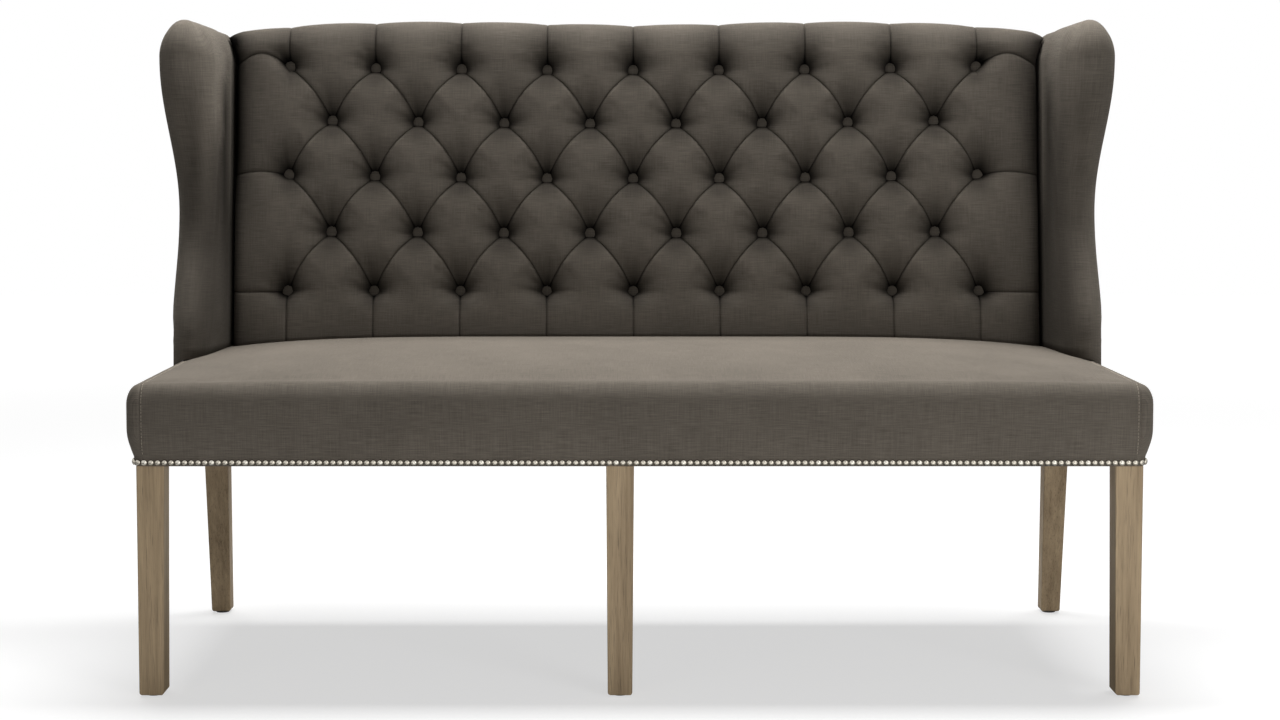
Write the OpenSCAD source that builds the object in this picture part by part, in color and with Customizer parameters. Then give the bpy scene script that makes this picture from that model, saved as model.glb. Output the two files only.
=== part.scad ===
// Upholstered banquette bench: a buttoned back between two winged sides, a padded seat
// on a dowelled hardwood frame, five wooden legs and a strip of decorative nails.
// Millimetres, +Z up, front towards -Y; left and right are as seen from the front.
// Origin: middle of the bench on the floor. "Depth" values run back from the seat's front.

/* [Seat] */
// Width of the seat across its sides, at the nail strip
seat_w = 1592; // [1500:1:1700]
// Depth of the base at its underside, cloth to cloth
seat_d = 615; // [580:1:650]
// Height of the base from its underside to the edge of the seat
seat_h = 128; // [116:1:140]
// How far the front and sides swell out above the nail strip
seat_swell = 10; // [5:1:14]
// Rounding of the seat's upper edge
seat_edge_r = 16; // [12:1:24]
// How far the middle of the seat rises above its edge
seat_crown = 31; // [20:1:40]
// Rounding of the seat's upright corners
seat_corner_r = 20; // [12:1:28]

/* [Legs] */
// Height of the base's underside above the floor
leg_h = 369; // [320:1:410]
// Width of a front leg at its top
leg_w = 44; // [38:1:50]
// Width of a front leg at its foot
leg_foot_w = 39; // [32:1:44]
// Width of a rear leg at its top
rear_leg_w = 45; // [40:1:50]
// Width of a rear leg at its foot
rear_foot_w = 35; // [30:1:42]
// How far the rear feet stand behind the rear legs' tops
rear_leg_rake = 68; // [40:1:75]
// How far the legs stand in from the cloth
leg_inset = 3; // [1:1:6]
// Sideways place of the middle leg
middle_leg_x = -31; // [-60:1:60]
// Chamfer round the feet
foot_chamfer = 3; // [1:0.5:5]
// Diameter of a glide
glide_d = 24; // [16:1:28]
// Thickness of a glide
glide_h = 3; // [2:0.5:5]

/* [Frame] */
// Thickness of the rails
rail_t = 28; // [22:1:32]
// Height of the seat rails
rail_h = 68; // [56:1:72]
// Height of the rail across the middle of the seat
cross_rail_h = 54; // [40:1:60]
// Depth of the back posts
post_depth = 38; // [32:1:42]
// Padding between the rails and the cloth
pad_t = 10; // [6:1:14]
// Thickness of the cover cloth with its backing
cloth_t = 2; // [1:0.5:3]
// Diameter of the dowels
dowel_d = 8; // [6:1:8]
// Length of the dowels
dowel_l = 40; // [30:1:46]
// Width of the webbing
webbing_w = 50; // [40:1:60]
// Thickness of the webbing
webbing_t = 1.5; // [1:0.5:2]
// Number of straps from front to back
straps_across = 12; // [8:1:14]
// Number of straps from side to side
straps_along = 4; // [3:1:6]

/* [Back] */
// Height of the back above the edge of the seat
back_rise = 603; // [555:1:650]
// How far the top of the back leans behind its foot
back_lean = 75; // [50:1:90]
// Thickness of the back at the seat
back_foot_t = 119; // [112:1:130]
// Thickness of the back at its top
back_top_t = 96; // [90:1:106]
// Height of the back's rails
back_rail_h = 34; // [28:1:38]
// Thickness of the board behind the padding
back_board_t = 4; // [3:0.5:6]
// How far the top of the back sags at its middle
top_dip = 6; // [0:1:12]

/* [Buttons] */
// Buttons in a full row
button_cols = 9; // [7:1:9]
// Distance of the end buttons from the sides of the back
button_margin = 103.4; // [90:0.1:120]
// Spacing of the button rows
row_pitch = 102.5; // [90:0.5:106]
// Distance of the top row below the top of the back
row_drop = 79; // [72:1:90]
// Sideways shift of the whole field of buttons
button_shift = -6; // [-12:1:12]
// Depth of the buttons below the crests of the padding
tuft_depth = 34; // [20:1:38]
// Diameter of a covered button
button_d = 20; // [16:1:24]
// How far a fold bows sideways
fold_bow_x = 14; // [4:1:18]
// How far a fold bows upwards
fold_bow_z = 11; // [4:1:14]

/* [Wings] */
// Width of a wing's root, from the nail strip's side to the buttoned back
wing_root_w = 67; // [62:1:74]
// Forward reach of a wing at the seat
wing_foot_reach = 262; // [230:1:290]
// Forward reach of a wing at its waist
wing_waist_reach = 205; // [180:1:225]
// Forward reach of a wing near its top
wing_top_reach = 244; // [220:1:270]
// Rounding of a wing's outer front edge
wing_round = 34; // [28:1:38]
// How far a wing's foot stands outside the nail strip
wing_foot_out = 12; // [8:1:14]
// How much further out a wing's top stands
wing_flare = 35; // [20:1:40]
// Height of the rounded top of a wing
wing_dome_h = 66; // [50:1:80]
// How far a wing's top stays below the back's top
wing_drop = 5; // [0:1:12]
// How much a wing's top falls towards the back
wing_fall = 12; // [4:1:24]
// Thickness of a wing's board
wing_board_t = 16; // [12:1:18]

/* [Nails] */
// Spacing of the heads along the strip
nail_pitch = 10.56; // [9.5:0.01:13]
// Diameter of a pressed head
nail_head_d = 9.2; // [7:0.1:9.4]
// Height of a pressed head
nail_head_h = 2.2; // [1.5:0.1:3.2]
// Thickness of the strip
nail_strip_t = 0.6; // [0.4:0.1:1]
// Height of the strip
nail_strip_h = 6; // [4:0.5:7]
// One head in this many is a real nail
nail_every = 5; // [3:1:8]
// Height of the strip's middle above the base's underside
nail_rise = 6.6; // [6:0.1:8]

/* [Hidden] */

// Fineness of round pieces
$fn = 32;
// One overrun for every cut
over = 1;
// Clearance of soft pieces and of holes
gap = 0.3;
// Clearance of what stands on the seat
sit_gap = 1;

// Main places
edge_z = leg_h + seat_h;
top_z = edge_z + back_rise;
all_d = seat_d + back_lean;
rail_out = seat_w / 2 - cloth_t - pad_t;
rail_front = seat_swell + cloth_t + pad_t;
rail_z = leg_h + cloth_t;
rail_top = rail_z + rail_h;
frame_back = cloth_t + pad_t / 2;
post_front = seat_d - frame_back - post_depth;
post_rear = seat_d - frame_back;
half_back = seat_w / 2 - wing_root_w;
leg_out = seat_w / 2 - leg_inset;
leg_front = seat_swell + leg_inset;
deck_z = rail_top + 2 * webbing_t;
lean_a = atan(back_lean / (top_z - leg_h));
board_front = frame_back + rail_t + back_board_t;
roll_h = row_drop / 2;
back_frame_top = top_z - roll_h - cloth_t;

wood = [0.50, 0.45, 0.37];
show_wood = [0.53, 0.47, 0.38];
cloth = [0.29, 0.26, 0.235];
foam = [0.90, 0.86, 0.70];

function y(depth) = depth - all_d / 2;
function sat(t) = min(1, max(0, t));
function ease(t) = let (s = sat(t)) s * s * (3 - 2 * s);
function mix(a, b, t) = a + (b - a) * t;

// Depth of the rear cloth at a height, and of the back's padded crests
function rear_d(z) = seat_d + back_lean * (z - leg_h) / (top_z - leg_h);
function crest_d(z) = rear_d(z) - mix(back_foot_t, back_top_t, (z - edge_z) / back_rise);

// A frame of reference that leans with the back, and the mirrored place of a side piece
module at_back() translate([0, y(seat_d), leg_h]) rotate([-lean_a, 0, 0]) children();
module on_side(side) {
    if (side < 0)
        mirror([1, 0, 0]) children();
    else
        children();
}
function along_back(z) = (z - leg_h) / cos(lean_a);

// Faces between points in rows: a sheet seen from its front, folded along its sewn folds
function sheet_faces(nu, nv, base, falling) = [
    for (v = [0:nv - 1], u = [0:nu - 1])
        let (
            a = base + v * (nu + 1) + u,
            b = a + 1,
            d = a + nu + 1,
            c = d + 1
        )
        each (falling[v][u] ? [[a, d, b], [d, c, b]] : [[a, d, c], [a, c, b]])
];
function turned(faces) = [for (f = faces) [f[0], f[2], f[1]]];
function rim(nu, nv, base) = concat(
    [for (u = [0:nu]) base + u],
    [for (v = [1:nv]) base + v * (nu + 1) + nu],
    [for (u = [nu - 1:-1:0]) base + nv * (nu + 1) + u],
    [for (v = [nv - 1:-1:1]) base + v * (nu + 1)]
);
function band(a, b) = [
    for (i = [0:len(a) - 1])
        let (j = (i + 1) % len(a))
        each [[a[i], a[j], b[j]], [a[i], b[j], b[i]]]
];
function flat_list(rows) = [for (r = rows) each r];

// A sheet of cloth between an outer and an inner surface
module sheet(outer, inner, falling) {
    nu = len(outer[0]) - 1;
    nv = len(outer) - 1;
    n = len(outer) * len(outer[0]);
    polyhedron(
        points = concat(flat_list(outer), flat_list(inner)),
        faces = concat(
            sheet_faces(nu, nv, 0, falling),
            turned(sheet_faces(nu, nv, n, falling)),
            band(rim(nu, nv, 0), rim(nu, nv, n))
        )
    );
}

// A pad with a shaped front and a flat rear that ends at the given rim
module pad(outer, rear_rim, middle, falling) {
    nu = len(outer[0]) - 1;
    nv = len(outer) - 1;
    n = len(outer) * len(outer[0]);
    m = len(rear_rim);
    back_rim = [for (i = [0:m - 1]) n + i];
    polyhedron(
        points = concat(flat_list(outer), rear_rim, [middle]),
        faces = concat(
            sheet_faces(nu, nv, 0, falling),
            band(rim(nu, nv, 0), back_rim),
            [for (i = [0:m - 1]) [n + i, n + (i + 1) % m, n + m]]
        )
    );
}

// Faces of a body of stacked rings that closes on a ridge; joins gives each point its place there
function ring_faces(k, n, base) = [
    for (v = [0:k - 2], i = [0:n - 1])
        let (
            a = base + v * n + i,
            b = base + v * n + (i + 1) % n
        )
        each [[a, a + n, b + n], [a, b + n, b]]
];
function ridge_faces(n, ring, ridge, joins) = [
    for (i = [0:n - 1])
        let (
            a = ring + i,
            b = ring + (i + 1) % n,
            s = ridge + joins[i],
            t = ridge + joins[(i + 1) % n]
        )
        each concat(s == t ? [] : [[a, s, t]], [[a, t, b]])
];
function dome_faces(k, n, base, joins) = concat(
    ring_faces(k, n, base),
    ridge_faces(n, base + (k - 1) * n, base + k * n, joins)
);

// A solid of stacked rings on a flat or hollow foot
module bulk(rings, ridge, joins, foot) {
    k = len(rings);
    n = len(rings[0]);
    last = k * n + len(ridge);
    polyhedron(
        points = concat(flat_list(rings), ridge, [foot]),
        faces = concat(
            dome_faces(k, n, 0, joins),
            [for (i = [0:n - 1]) [i, (i + 1) % n, last]]
        )
    );
}

// A cloth cap over such a body, open below
module cap(rings, ridge, inner_rings, inner_ridge, joins) {
    k = len(rings);
    n = len(rings[0]);
    base = k * n + len(ridge);
    outer_rim = [for (i = [0:n - 1]) i];
    inner_rim = [for (i = [0:n - 1]) base + i];
    polyhedron(
        points = concat(flat_list(rings), ridge, flat_list(inner_rings), inner_ridge),
        faces = concat(
            dome_faces(k, n, 0, joins),
            turned(dome_faces(k, n, base, joins)),
            band(outer_rim, inner_rim)
        )
    );
}

// Shape of the seat: rise of its crown at a place, and swell of its sides at a height
crown_reach_share = 0.65;
crown_side_power = 9;
swell_top_share = 0.55;
nail_zone = 2 * nail_rise;
function crown_side(x) = 1 - pow(min(1, abs(x) / (seat_w / 2)), crown_side_power);
function crown_front(d) = 1 - pow(1 - min(1, max(0, d) / (crown_reach_share * seat_d)), 3);
function crown_rear(d) = 1 - pow(sat((d / seat_d - crown_reach_share) / (1 - crown_reach_share)), 6);
function side_x(z) =
    let (t = sat((z - leg_h - nail_zone) / (swell_top_share * seat_h)))
    seat_w / 2 + seat_swell * sin(90 * t);
function edge_drop(x) =
    let (past = sat((abs(x) - side_x(edge_z) + seat_edge_r) / seat_edge_r))
    seat_edge_r * (1 - sqrt(1 - past * past));
function seat_z(x, d) = edge_z - edge_drop(x) + seat_crown * crown_side(x) * crown_front(d) * crown_rear(d);

// Outline of the seat from above: corners, then stations along each side
across_share = [-1, -0.93, -0.83, -0.66, -0.4, 0, 0.4, 0.66, 0.83, 0.93, 1];
along_share = [0, 0.15, 0.4, 0.7, 1];
across_n = len(across_share);
along_n = len(along_share);
function outline(half, front, rear, r) =
    let (
        x = half - r,
        c = half - r + r * cos(45),
        f = front + r - r * sin(45),
        b = rear - r + r * sin(45)
    )
    concat(
        [[-c, f]],
        [for (s = across_share) [s * x, front]],
        [[c, f]],
        [for (s = along_share) [half, mix(front + r, rear - r, s)]],
        [[c, b]],
        [for (s = across_share) [-s * x, rear]],
        [[-c, b]],
        [for (s = along_share) [-half, mix(rear - r, front + r, s)]]
    );
seat_joins = concat(
    [0],
    [for (i = [0:across_n - 1]) i],
    [for (i = [0:along_n + 1]) across_n - 1],
    [for (i = [across_n - 1:-1:0]) i],
    [for (i = [0:along_n]) 0]
);

// Rings of the seat's skin, moved inwards by skin
side_level_share = [0.32, 0.56];
edge_angles = [0, 35, 65, 90];
top_inset_share = [0.04, 0.1, 0.2, 0.34];
ridge_share = 0.72;
function seat_ring(z, inset, skin) =
    let (
        half = side_x(z) - inset - skin,
        front = seat_w / 2 + seat_swell - side_x(z) + inset + skin,
        rear = rear_d(z) - cloth_t - gap - inset - skin,
        r = max(seat_corner_r - inset - skin, cloth_t)
    )
    outline(half, front, rear, r);
function seat_rings(skin) = concat(
    [for (z = concat(
        [leg_h, leg_h + nail_zone],
        [for (s = side_level_share) leg_h + s * seat_h]
    )) [for (p = seat_ring(z, 0, skin)) [p[0], y(p[1]), z]]],
    [for (a = edge_angles)
        let (
            z = edge_z - seat_edge_r + seat_edge_r * sin(a),
            inset = seat_edge_r * (1 - cos(a))
        )
        [for (p = seat_ring(z, inset, skin)) [p[0], y(p[1]), z - skin * sin(a)]]],
    [for (s = top_inset_share)
        [for (p = seat_ring(edge_z, s * seat_d, skin)) [p[0], y(p[1]), seat_z(p[0], p[1]) - skin]]]
);
function seat_ridge(skin) = [
    for (s = across_share)
        let (
            x = s * (seat_w / 2 - (1 - ridge_share) * seat_d),
            d = seat_d / 2
        )
        [x, y(d), seat_z(x, d) - skin]
];

// The back post's outline from the side, which the soft pieces are cut round
post_bend_z = rail_top + rail_t;
function post_outline(clear) = [
    [y(post_front) - clear, leg_h],
    [y(post_front) - clear, rail_top],
    [y(rear_d(post_bend_z) - frame_back - post_depth) - clear, post_bend_z],
    [y(rear_d(back_frame_top) - frame_back - post_depth) - clear, back_frame_top + clear],
    [y(rear_d(back_frame_top) - frame_back) + clear, back_frame_top + clear],
    [y(post_rear) + clear, leg_h],
];
module across(x0, x1) translate([x0, 0, 0]) rotate([90, 0, 90]) linear_extrude(height = x1 - x0) children();
module both_posts(clear) {
    for (x = [-rail_out - clear, half_back - clear])
        across(x, x + rail_out - half_back + 2 * clear) polygon(post_outline(clear));
}

// Dowels: two at each joint, shared by the pieces they join; near and wide pairs pass each other
dowel_wide = rail_h / 4;
dowel_near = rail_h / 10;
module dowel_pair(x, d, z, turn, rise) {
    for (s = [-1, 1])
        translate([x, y(d), z + s * rise]) rotate(turn) cylinder(h = dowel_l, d = dowel_d, center = true);
}
module base_dowels() {
    z = rail_z + rail_h / 2;
    d = rail_front + rail_t / 2;
    x = rail_out - rail_t / 2;
    for (at = [-leg_out + leg_w, middle_leg_x - leg_w / 2, middle_leg_x + leg_w / 2, leg_out - leg_w])
        dowel_pair(at, d, z, [0, 90, 0], dowel_wide);
    for (at = [-x, x]) {
        dowel_pair(at, leg_front + leg_w, z, [90, 0, 0], dowel_near);
        dowel_pair(at, post_front, z, [90, 0, 0], dowel_near);
    }
    for (at = [-half_back, half_back])
        dowel_pair(at, post_rear - rail_t / 2, z, [0, 90, 0], dowel_wide);
    for (d = [leg_front + leg_w, post_rear - rail_t])
        dowel_pair(middle_leg_x, d, z, [90, 0, 0], dowel_near);
}

// Heights of the back's rails, clear of the button rows
function row_z(row) = top_z - row_drop - row * row_pitch;
button_rows = 5;
top_rail_z = back_frame_top - back_rail_h / 2;
middle_rail_z = (row_z(2) + row_z(3)) / 2;
bottom_rail_z = row_z(button_rows - 1) - row_pitch / 2;
module back_dowels() {
    at_back()
        for (x = [-half_back, half_back], z = [top_rail_z, middle_rail_z, bottom_rail_z], s = [-1, 1])
            translate([x, -frame_back - rail_t / 2, along_back(z) + s * back_rail_h / 4])
                rotate([0, 90, 0]) cylinder(h = dowel_l, d = dowel_d, center = true);
}
module frame_dowels() {
    color(wood) {
        base_dowels();
        back_dowels();
    }
}

// Glides: a nylon disc with a pin in each foot
glide_pin_d = 3;
glide_pin_l = 16;
rear_foot_d = post_front + rear_leg_rake;
module glides() {
    front_x = leg_out - leg_foot_w / 2;
    rear_x = leg_out - rear_foot_w / 2;
    front_mid = leg_front + leg_w / 2;
    rear_mid = rear_foot_d + rear_foot_w / 2;
    for (at = [[-front_x, front_mid], [front_x, front_mid], [middle_leg_x, front_mid],
               [-rear_x, rear_mid], [rear_x, rear_mid]])
        translate([at[0], y(at[1]), 0]) {
            cylinder(h = glide_h, d = glide_d);
            cylinder(h = glide_h + glide_pin_l, d = glide_pin_d);
        }
}
module leg_glides() {
    color("dimgray") glides();
}

// Front legs: a tapered foot, a shoulder under the cloth and a post between the rails
module leg_from_side() {
    across(-leg_out, leg_out)
        polygon([
            [y(leg_front), glide_h],
            [y(leg_front), leg_h],
            [y(rail_front), leg_h],
            [y(rail_front), rail_top],
            [y(leg_front + leg_w), rail_top],
            [y(leg_front + leg_w), glide_h],
        ]);
}
module leg_from_front(left_top, right_top, left_foot, right_foot, right_post) {
    translate([0, y(all_d), 0]) rotate([90, 0, 0]) linear_extrude(height = all_d)
        polygon([
            [left_foot + foot_chamfer, glide_h],
            [right_foot - foot_chamfer, glide_h],
            [right_foot, glide_h + foot_chamfer],
            [right_top, leg_h],
            [right_post, leg_h],
            [right_post, rail_top],
            [left_top, rail_top],
            [left_top, leg_h],
            [left_foot, glide_h + foot_chamfer],
        ]);
}
module front_leg(side) {
    color(show_wood) difference() {
        on_side(side) intersection() {
            leg_from_side();
            leg_from_front(leg_out - leg_w, leg_out, leg_out - leg_foot_w, leg_out, rail_out);
        }
        base_dowels();
        glides();
        nail_pins();
    }
}
module front_leg_left() front_leg(-1);
module front_leg_right() front_leg(1);
module front_leg_middle() {
    top = leg_w / 2;
    foot = leg_foot_w / 2;
    color(show_wood) difference() {
        translate([middle_leg_x, 0, 0]) intersection() {
            leg_from_side();
            leg_from_front(-top, top, -foot, foot, top);
        }
        base_dowels();
        glides();
        nail_pins();
    }
}

// Rear legs: each is one piece with its back post, raked below the seat and leaning above it
module rear_leg_side() {
    across(half_back, leg_out)
        polygon([
            [y(rear_foot_d) + foot_chamfer, glide_h],
            [y(rear_foot_d), glide_h + foot_chamfer],
            [y(post_front), leg_h],
            [y(post_front), rail_top],
            [y(rear_d(post_bend_z) - frame_back - post_depth), post_bend_z],
            [y(rear_d(back_frame_top) - frame_back - post_depth), back_frame_top],
            [y(rear_d(back_frame_top) - frame_back), back_frame_top],
            [y(post_rear), leg_h],
            [y(rear_foot_d + rear_foot_w), glide_h + foot_chamfer],
            [y(rear_foot_d + rear_foot_w) - foot_chamfer, glide_h],
        ]);
}
module rear_leg_front() {
    translate([0, y(all_d), 0]) rotate([90, 0, 0]) linear_extrude(height = all_d)
        polygon([
            [leg_out - rear_foot_w + foot_chamfer, glide_h],
            [leg_out - foot_chamfer, glide_h],
            [leg_out, glide_h + foot_chamfer],
            [leg_out, leg_h],
            [rail_out, leg_h],
            [rail_out, back_frame_top],
            [half_back, back_frame_top],
            [half_back, leg_h],
            [leg_out - rear_leg_w, leg_h],
            [leg_out - rear_foot_w, glide_h + foot_chamfer],
        ]);
}
module rear_leg(side) {
    color(show_wood) difference() {
        on_side(side) intersection() {
            rear_leg_side();
            rear_leg_front();
        }
        base_dowels();
        back_dowels();
        glides();
        nail_pins();
        screws_at_wing(side);
    }
}
module rear_leg_left() rear_leg(-1);
module rear_leg_right() rear_leg(1);

// Seat rails
module rail_box(x0, x1, d0, d1, z0, z1) translate([x0, y(d0), z0]) cube([x1 - x0, d1 - d0, z1 - z0]);
module front_rail_left() {
    color(wood) difference() {
        rail_box(leg_w - leg_out, middle_leg_x - leg_w / 2, rail_front, inner_front, rail_z, rail_top);
        base_dowels();
        all_block_screws();
        nail_pins();
    }
}
module front_rail_right() {
    color(wood) difference() {
        rail_box(middle_leg_x + leg_w / 2, leg_out - leg_w, rail_front, inner_front, rail_z, rail_top);
        base_dowels();
        all_block_screws();
        nail_pins();
    }
}
module side_rail(side) {
    color(wood) difference() {
        on_side(side)
            rail_box(rail_out - rail_t, rail_out, leg_front + leg_w, post_front, rail_z, rail_top);
        base_dowels();
        all_block_screws();
        nail_pins();
    }
}
module side_rail_left() side_rail(-1);
module side_rail_right() side_rail(1);
module rear_rail() {
    color(wood) difference() {
        rail_box(-half_back, half_back, post_rear - rail_t, post_rear, rail_z, rail_top);
        base_dowels();
        all_block_screws();
    }
}
module cross_rail() {
    color(wood) difference() {
        rail_box(middle_leg_x - rail_t / 2, middle_leg_x + rail_t / 2, leg_front + leg_w, post_rear - rail_t,
            rail_z, rail_z + cross_rail_h);
        base_dowels();
    }
}

// Corner blocks: a bar across each inner corner, screwed to both rails
block_reach = 34;
block_bar = 34;
block_h = 46;
screw_d = 4.5;
screw_head_d = 8.5;
screw_head_h = 3;
screw_grip = 18;
block_z = rail_z + (rail_h - block_h) / 2;
inner_side = rail_out - rail_t;
inner_front = rail_front + rail_t;
inner_rear = post_rear - rail_t;
module corner_bar(corner_x, corner_d, rail_x, rail_d, step) {
    polygon([
        [rail_x, y(corner_d + step * block_reach)],
        [rail_x, y(corner_d + step * (block_reach + block_bar))],
        [corner_x - block_reach - block_bar, y(rail_d)],
        [corner_x - block_reach, y(rail_d)],
    ]);
}
module block_screw(from, turn) {
    translate(from) rotate(turn) {
        cylinder(h = screw_grip + block_bar / 2 - screw_head_h, d = screw_d);
        translate([0, 0, -screw_head_h]) cylinder(h = screw_head_h, d = screw_head_d);
    }
}
module corner_screws(corner_x, corner_d, rail_x, rail_d, step) {
    middle = block_reach + block_bar / 2;
    seat = block_bar / 2 - screw_head_h;
    z = block_z + block_h / 2;
    block_screw([rail_x - seat, y(corner_d + step * middle), z + block_h / 4], [0, 90, 0]);
    block_screw([corner_x - middle, y(rail_d + step * seat), z - block_h / 4], [90 * step, 0, 0]);
}
module at_corners(bars) {
    for (side = [-1, 1])
        on_side(side) {
            if (bars) {
                translate([0, 0, block_z]) linear_extrude(height = block_h) {
                    corner_bar(leg_out - leg_w, leg_front + leg_w, inner_side, inner_front, 1);
                    corner_bar(half_back, post_front, inner_side, inner_rear, -1);
                }
            } else {
                corner_screws(leg_out - leg_w, leg_front + leg_w, inner_side, inner_front, 1);
                corner_screws(half_back, post_front, inner_side, inner_rear, -1);
            }
        }
}
module all_block_screws() at_corners(false);
module block_screws() {
    color("silver") all_block_screws();
}
module counterbores() {
    for (side = [-1, 1])
        on_side(side)
            for (c = [
                [leg_out - leg_w, leg_front + leg_w, inner_front, 1],
                [half_back, post_front, inner_rear, -1]
            ]) {
                middle = block_reach + block_bar / 2;
                z = block_z + block_h / 2;
                translate([inner_side - block_bar / 2, y(c[1] + c[3] * middle), z + block_h / 4])
                    rotate([0, -90, 0]) cylinder(h = block_bar, d = screw_head_d);
                translate([c[0] - middle, y(c[2] + c[3] * block_bar / 2), z - block_h / 4])
                    rotate([-90 * c[3], 0, 0]) cylinder(h = block_bar, d = screw_head_d);
            }
}
module corner_blocks() {
    color(wood) difference() {
        at_corners(true);
        all_block_screws();
        counterbores();
    }
}

// Webbing: straps along the seat, and straps over them from front to back that dip to the rails
strap_margin = 4;
module webbing_along() {
    inner = post_front - leg_front - leg_w - webbing_w;
    color("tan") for (i = [0:straps_along - 1]) {
        d = leg_front + leg_w + (i + 0.5) * inner / straps_along;
        rail_box(strap_margin - rail_out, rail_out - strap_margin, d, d + webbing_w,
            rail_top, rail_top + webbing_t);
    }
}
strap_line = [
    [rail_front + strap_margin, 0],
    [inner_front, 0],
    [inner_front + rail_t / 2, webbing_t],
    [inner_rear - rail_t / 2, webbing_t],
    [inner_rear, 0],
    [post_rear - strap_margin, 0],
];
module webbing_across() {
    span = 2 * (half_back - webbing_w);
    color("tan") for (i = [0:straps_across - 1])
        across(-span / 2 + i * span / (straps_across - 1) - webbing_w / 2,
               -span / 2 + i * span / (straps_across - 1) + webbing_w / 2)
            polygon(concat(
                [for (p = strap_line) [y(p[0]), rail_top + p[1]]],
                [for (k = [len(strap_line) - 1:-1:0])
                    [y(strap_line[k][0]), rail_top + strap_line[k][1] + webbing_t]]
            ));
}

// Seat padding: a crowned block on the webbing whose edges turn down over the rails
module seat_foam() {
    skin = cloth_t + gap;
    color(foam) difference() {
        bulk(seat_rings(skin), seat_ridge(skin), seat_joins, [0, y(seat_d / 2), leg_h]);
        rail_box(-rail_out, rail_out, rail_front, post_rear, leg_h - over, deck_z);
        both_posts(gap);
        nail_pins();
    }
}
module seat_cover() {
    color(cloth) difference() {
        cap(seat_rings(0), seat_ridge(0), seat_rings(cloth_t), seat_ridge(cloth_t), seat_joins);
        both_posts(gap);
        nail_pins();
    }
}
dust_t = 1;
module dust_cover() {
    color("dimgray") difference() {
        rail_box(rail_t / 2 - rail_out, rail_out - rail_t / 2,
            rail_front + rail_t / 2, post_rear - rail_t / 2, rail_z - dust_t, rail_z);
        for (x = [leg_w - leg_out, middle_leg_x + leg_w / 2, leg_out])
            rail_box(x - leg_w, x, 0, leg_front + leg_w, leg_h, rail_top);
        both_posts(gap);
    }
}

// Nail strip: a pressed band round the front and sides, with real nails through it
strip_z = leg_h + nail_rise;
strip_corner_x = seat_w / 2 - seat_corner_r;
strip_corner_d = seat_swell + seat_corner_r;
strip_rear = seat_d - rail_t;
corner_arc = 90 * seat_corner_r * PI / 180;
side_run = strip_rear - strip_corner_d;
strip_run = 2 * side_run + 2 * corner_arc + 2 * strip_corner_x;
heads = floor(strip_run / nail_pitch);
front_start = side_run + corner_arc;
front_end = front_start + 2 * strip_corner_x;
// Place and heading of the strip at a distance along it from its left rear end
function strip_at(s) =
    s < side_run ? [-seat_w / 2, strip_rear - s, -90] :
    s < front_start ? strip_turn(-1, (s - side_run) / corner_arc * 90) :
    s < front_end ? [s - front_start - strip_corner_x, seat_swell, 0] :
    s < strip_run - side_run ? strip_turn(1, 90 - (s - front_end) / corner_arc * 90) :
    [seat_w / 2, strip_rear - strip_run + s, 90];
function strip_turn(side, a) = [
    side * (strip_corner_x + seat_corner_r * cos(a)),
    strip_corner_d - seat_corner_r * sin(a),
    side * (90 - a)
];
module strip_plan(grow) {
    half = seat_w / 2 + grow;
    r = seat_corner_r + grow;
    translate([-half, y(strip_corner_d)]) square([2 * half, strip_rear - strip_corner_d]);
    translate([-strip_corner_x, y(seat_swell - grow)])
        square([2 * strip_corner_x, strip_corner_d - seat_swell + grow]);
    for (x = [-strip_corner_x, strip_corner_x])
        translate([x, y(strip_corner_d)]) circle(r = r);
}
module on_strip(index) {
    at = strip_at((index + 0.5) * strip_run / heads);
    translate([at[0], y(at[1]), strip_z]) rotate([0, 0, at[2]]) rotate([90, 0, 0]) children();
}
module dome(d, h) {
    r = (d * d / 4 + h * h) / (2 * h);
    rotate_extrude() intersection() {
        translate([0, h - r]) circle(r = r);
        square([d / 2, h]);
    }
}
module nail_strip() {
    color("silver") difference() {
        union() {
            translate([0, 0, strip_z - nail_strip_h / 2]) linear_extrude(height = nail_strip_h)
                difference() {
                    strip_plan(nail_strip_t);
                    strip_plan(0);
                }
            for (i = [0:heads - 1])
                if (i % nail_every != 0)
                    on_strip(i) translate([0, 0, nail_strip_t / 2]) dome(nail_head_d, nail_head_h);
        }
        nail_pins();
    }
}
nail_pin_d = 1.8;
nail_pin_l = 18;
real_head_share = 1.1;
module nail_pins() {
    for (i = [0:nail_every:heads - 1])
        on_strip(i) translate([0, 0, -nail_pin_l]) cylinder(h = nail_pin_l + nail_strip_t, d = nail_pin_d);
}
module decorative_nails() {
    color("white") {
        for (i = [0:nail_every:heads - 1])
            on_strip(i) translate([0, 0, nail_strip_t])
                dome(nail_head_d * real_head_share, nail_head_h * real_head_share);
        nail_pins();
    }
}

// Back frame: three rails between the posts, struts between the rails and a board in front
module back_box(x0, x1, t0, t1, z0, z1) {
    at_back() translate([x0, -t1, along_back(z0)]) cube([x1 - x0, t1 - t0, along_back(z1) - along_back(z0)]);
}
module back_rail(z) {
    color(wood) difference() {
        back_box(-half_back, half_back, frame_back, frame_back + rail_t,
            z - back_rail_h / 2, z + back_rail_h / 2);
        back_dowels();
        board_screw_set();
    }
}
module back_top_rail() back_rail(top_rail_z);
module back_middle_rail() back_rail(middle_rail_z);
module back_bottom_rail() back_rail(bottom_rail_z);
strut_columns = [-2.25, 2.25];
module back_struts() {
    color(wood) for (c = strut_columns, z = [[bottom_rail_z, middle_rail_z], [middle_rail_z, top_rail_z]])
        translate([button_shift + c * button_pitch, 0, 0])
            back_box(-rail_t / 2, rail_t / 2, frame_back, frame_back + rail_t,
                z[0] + back_rail_h / 2, z[1] - back_rail_h / 2);
}
board_low = bottom_rail_z - back_rail_h / 2;
board_high = top_rail_z + back_rail_h / 2;
twine_hole_d = 6;
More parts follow.
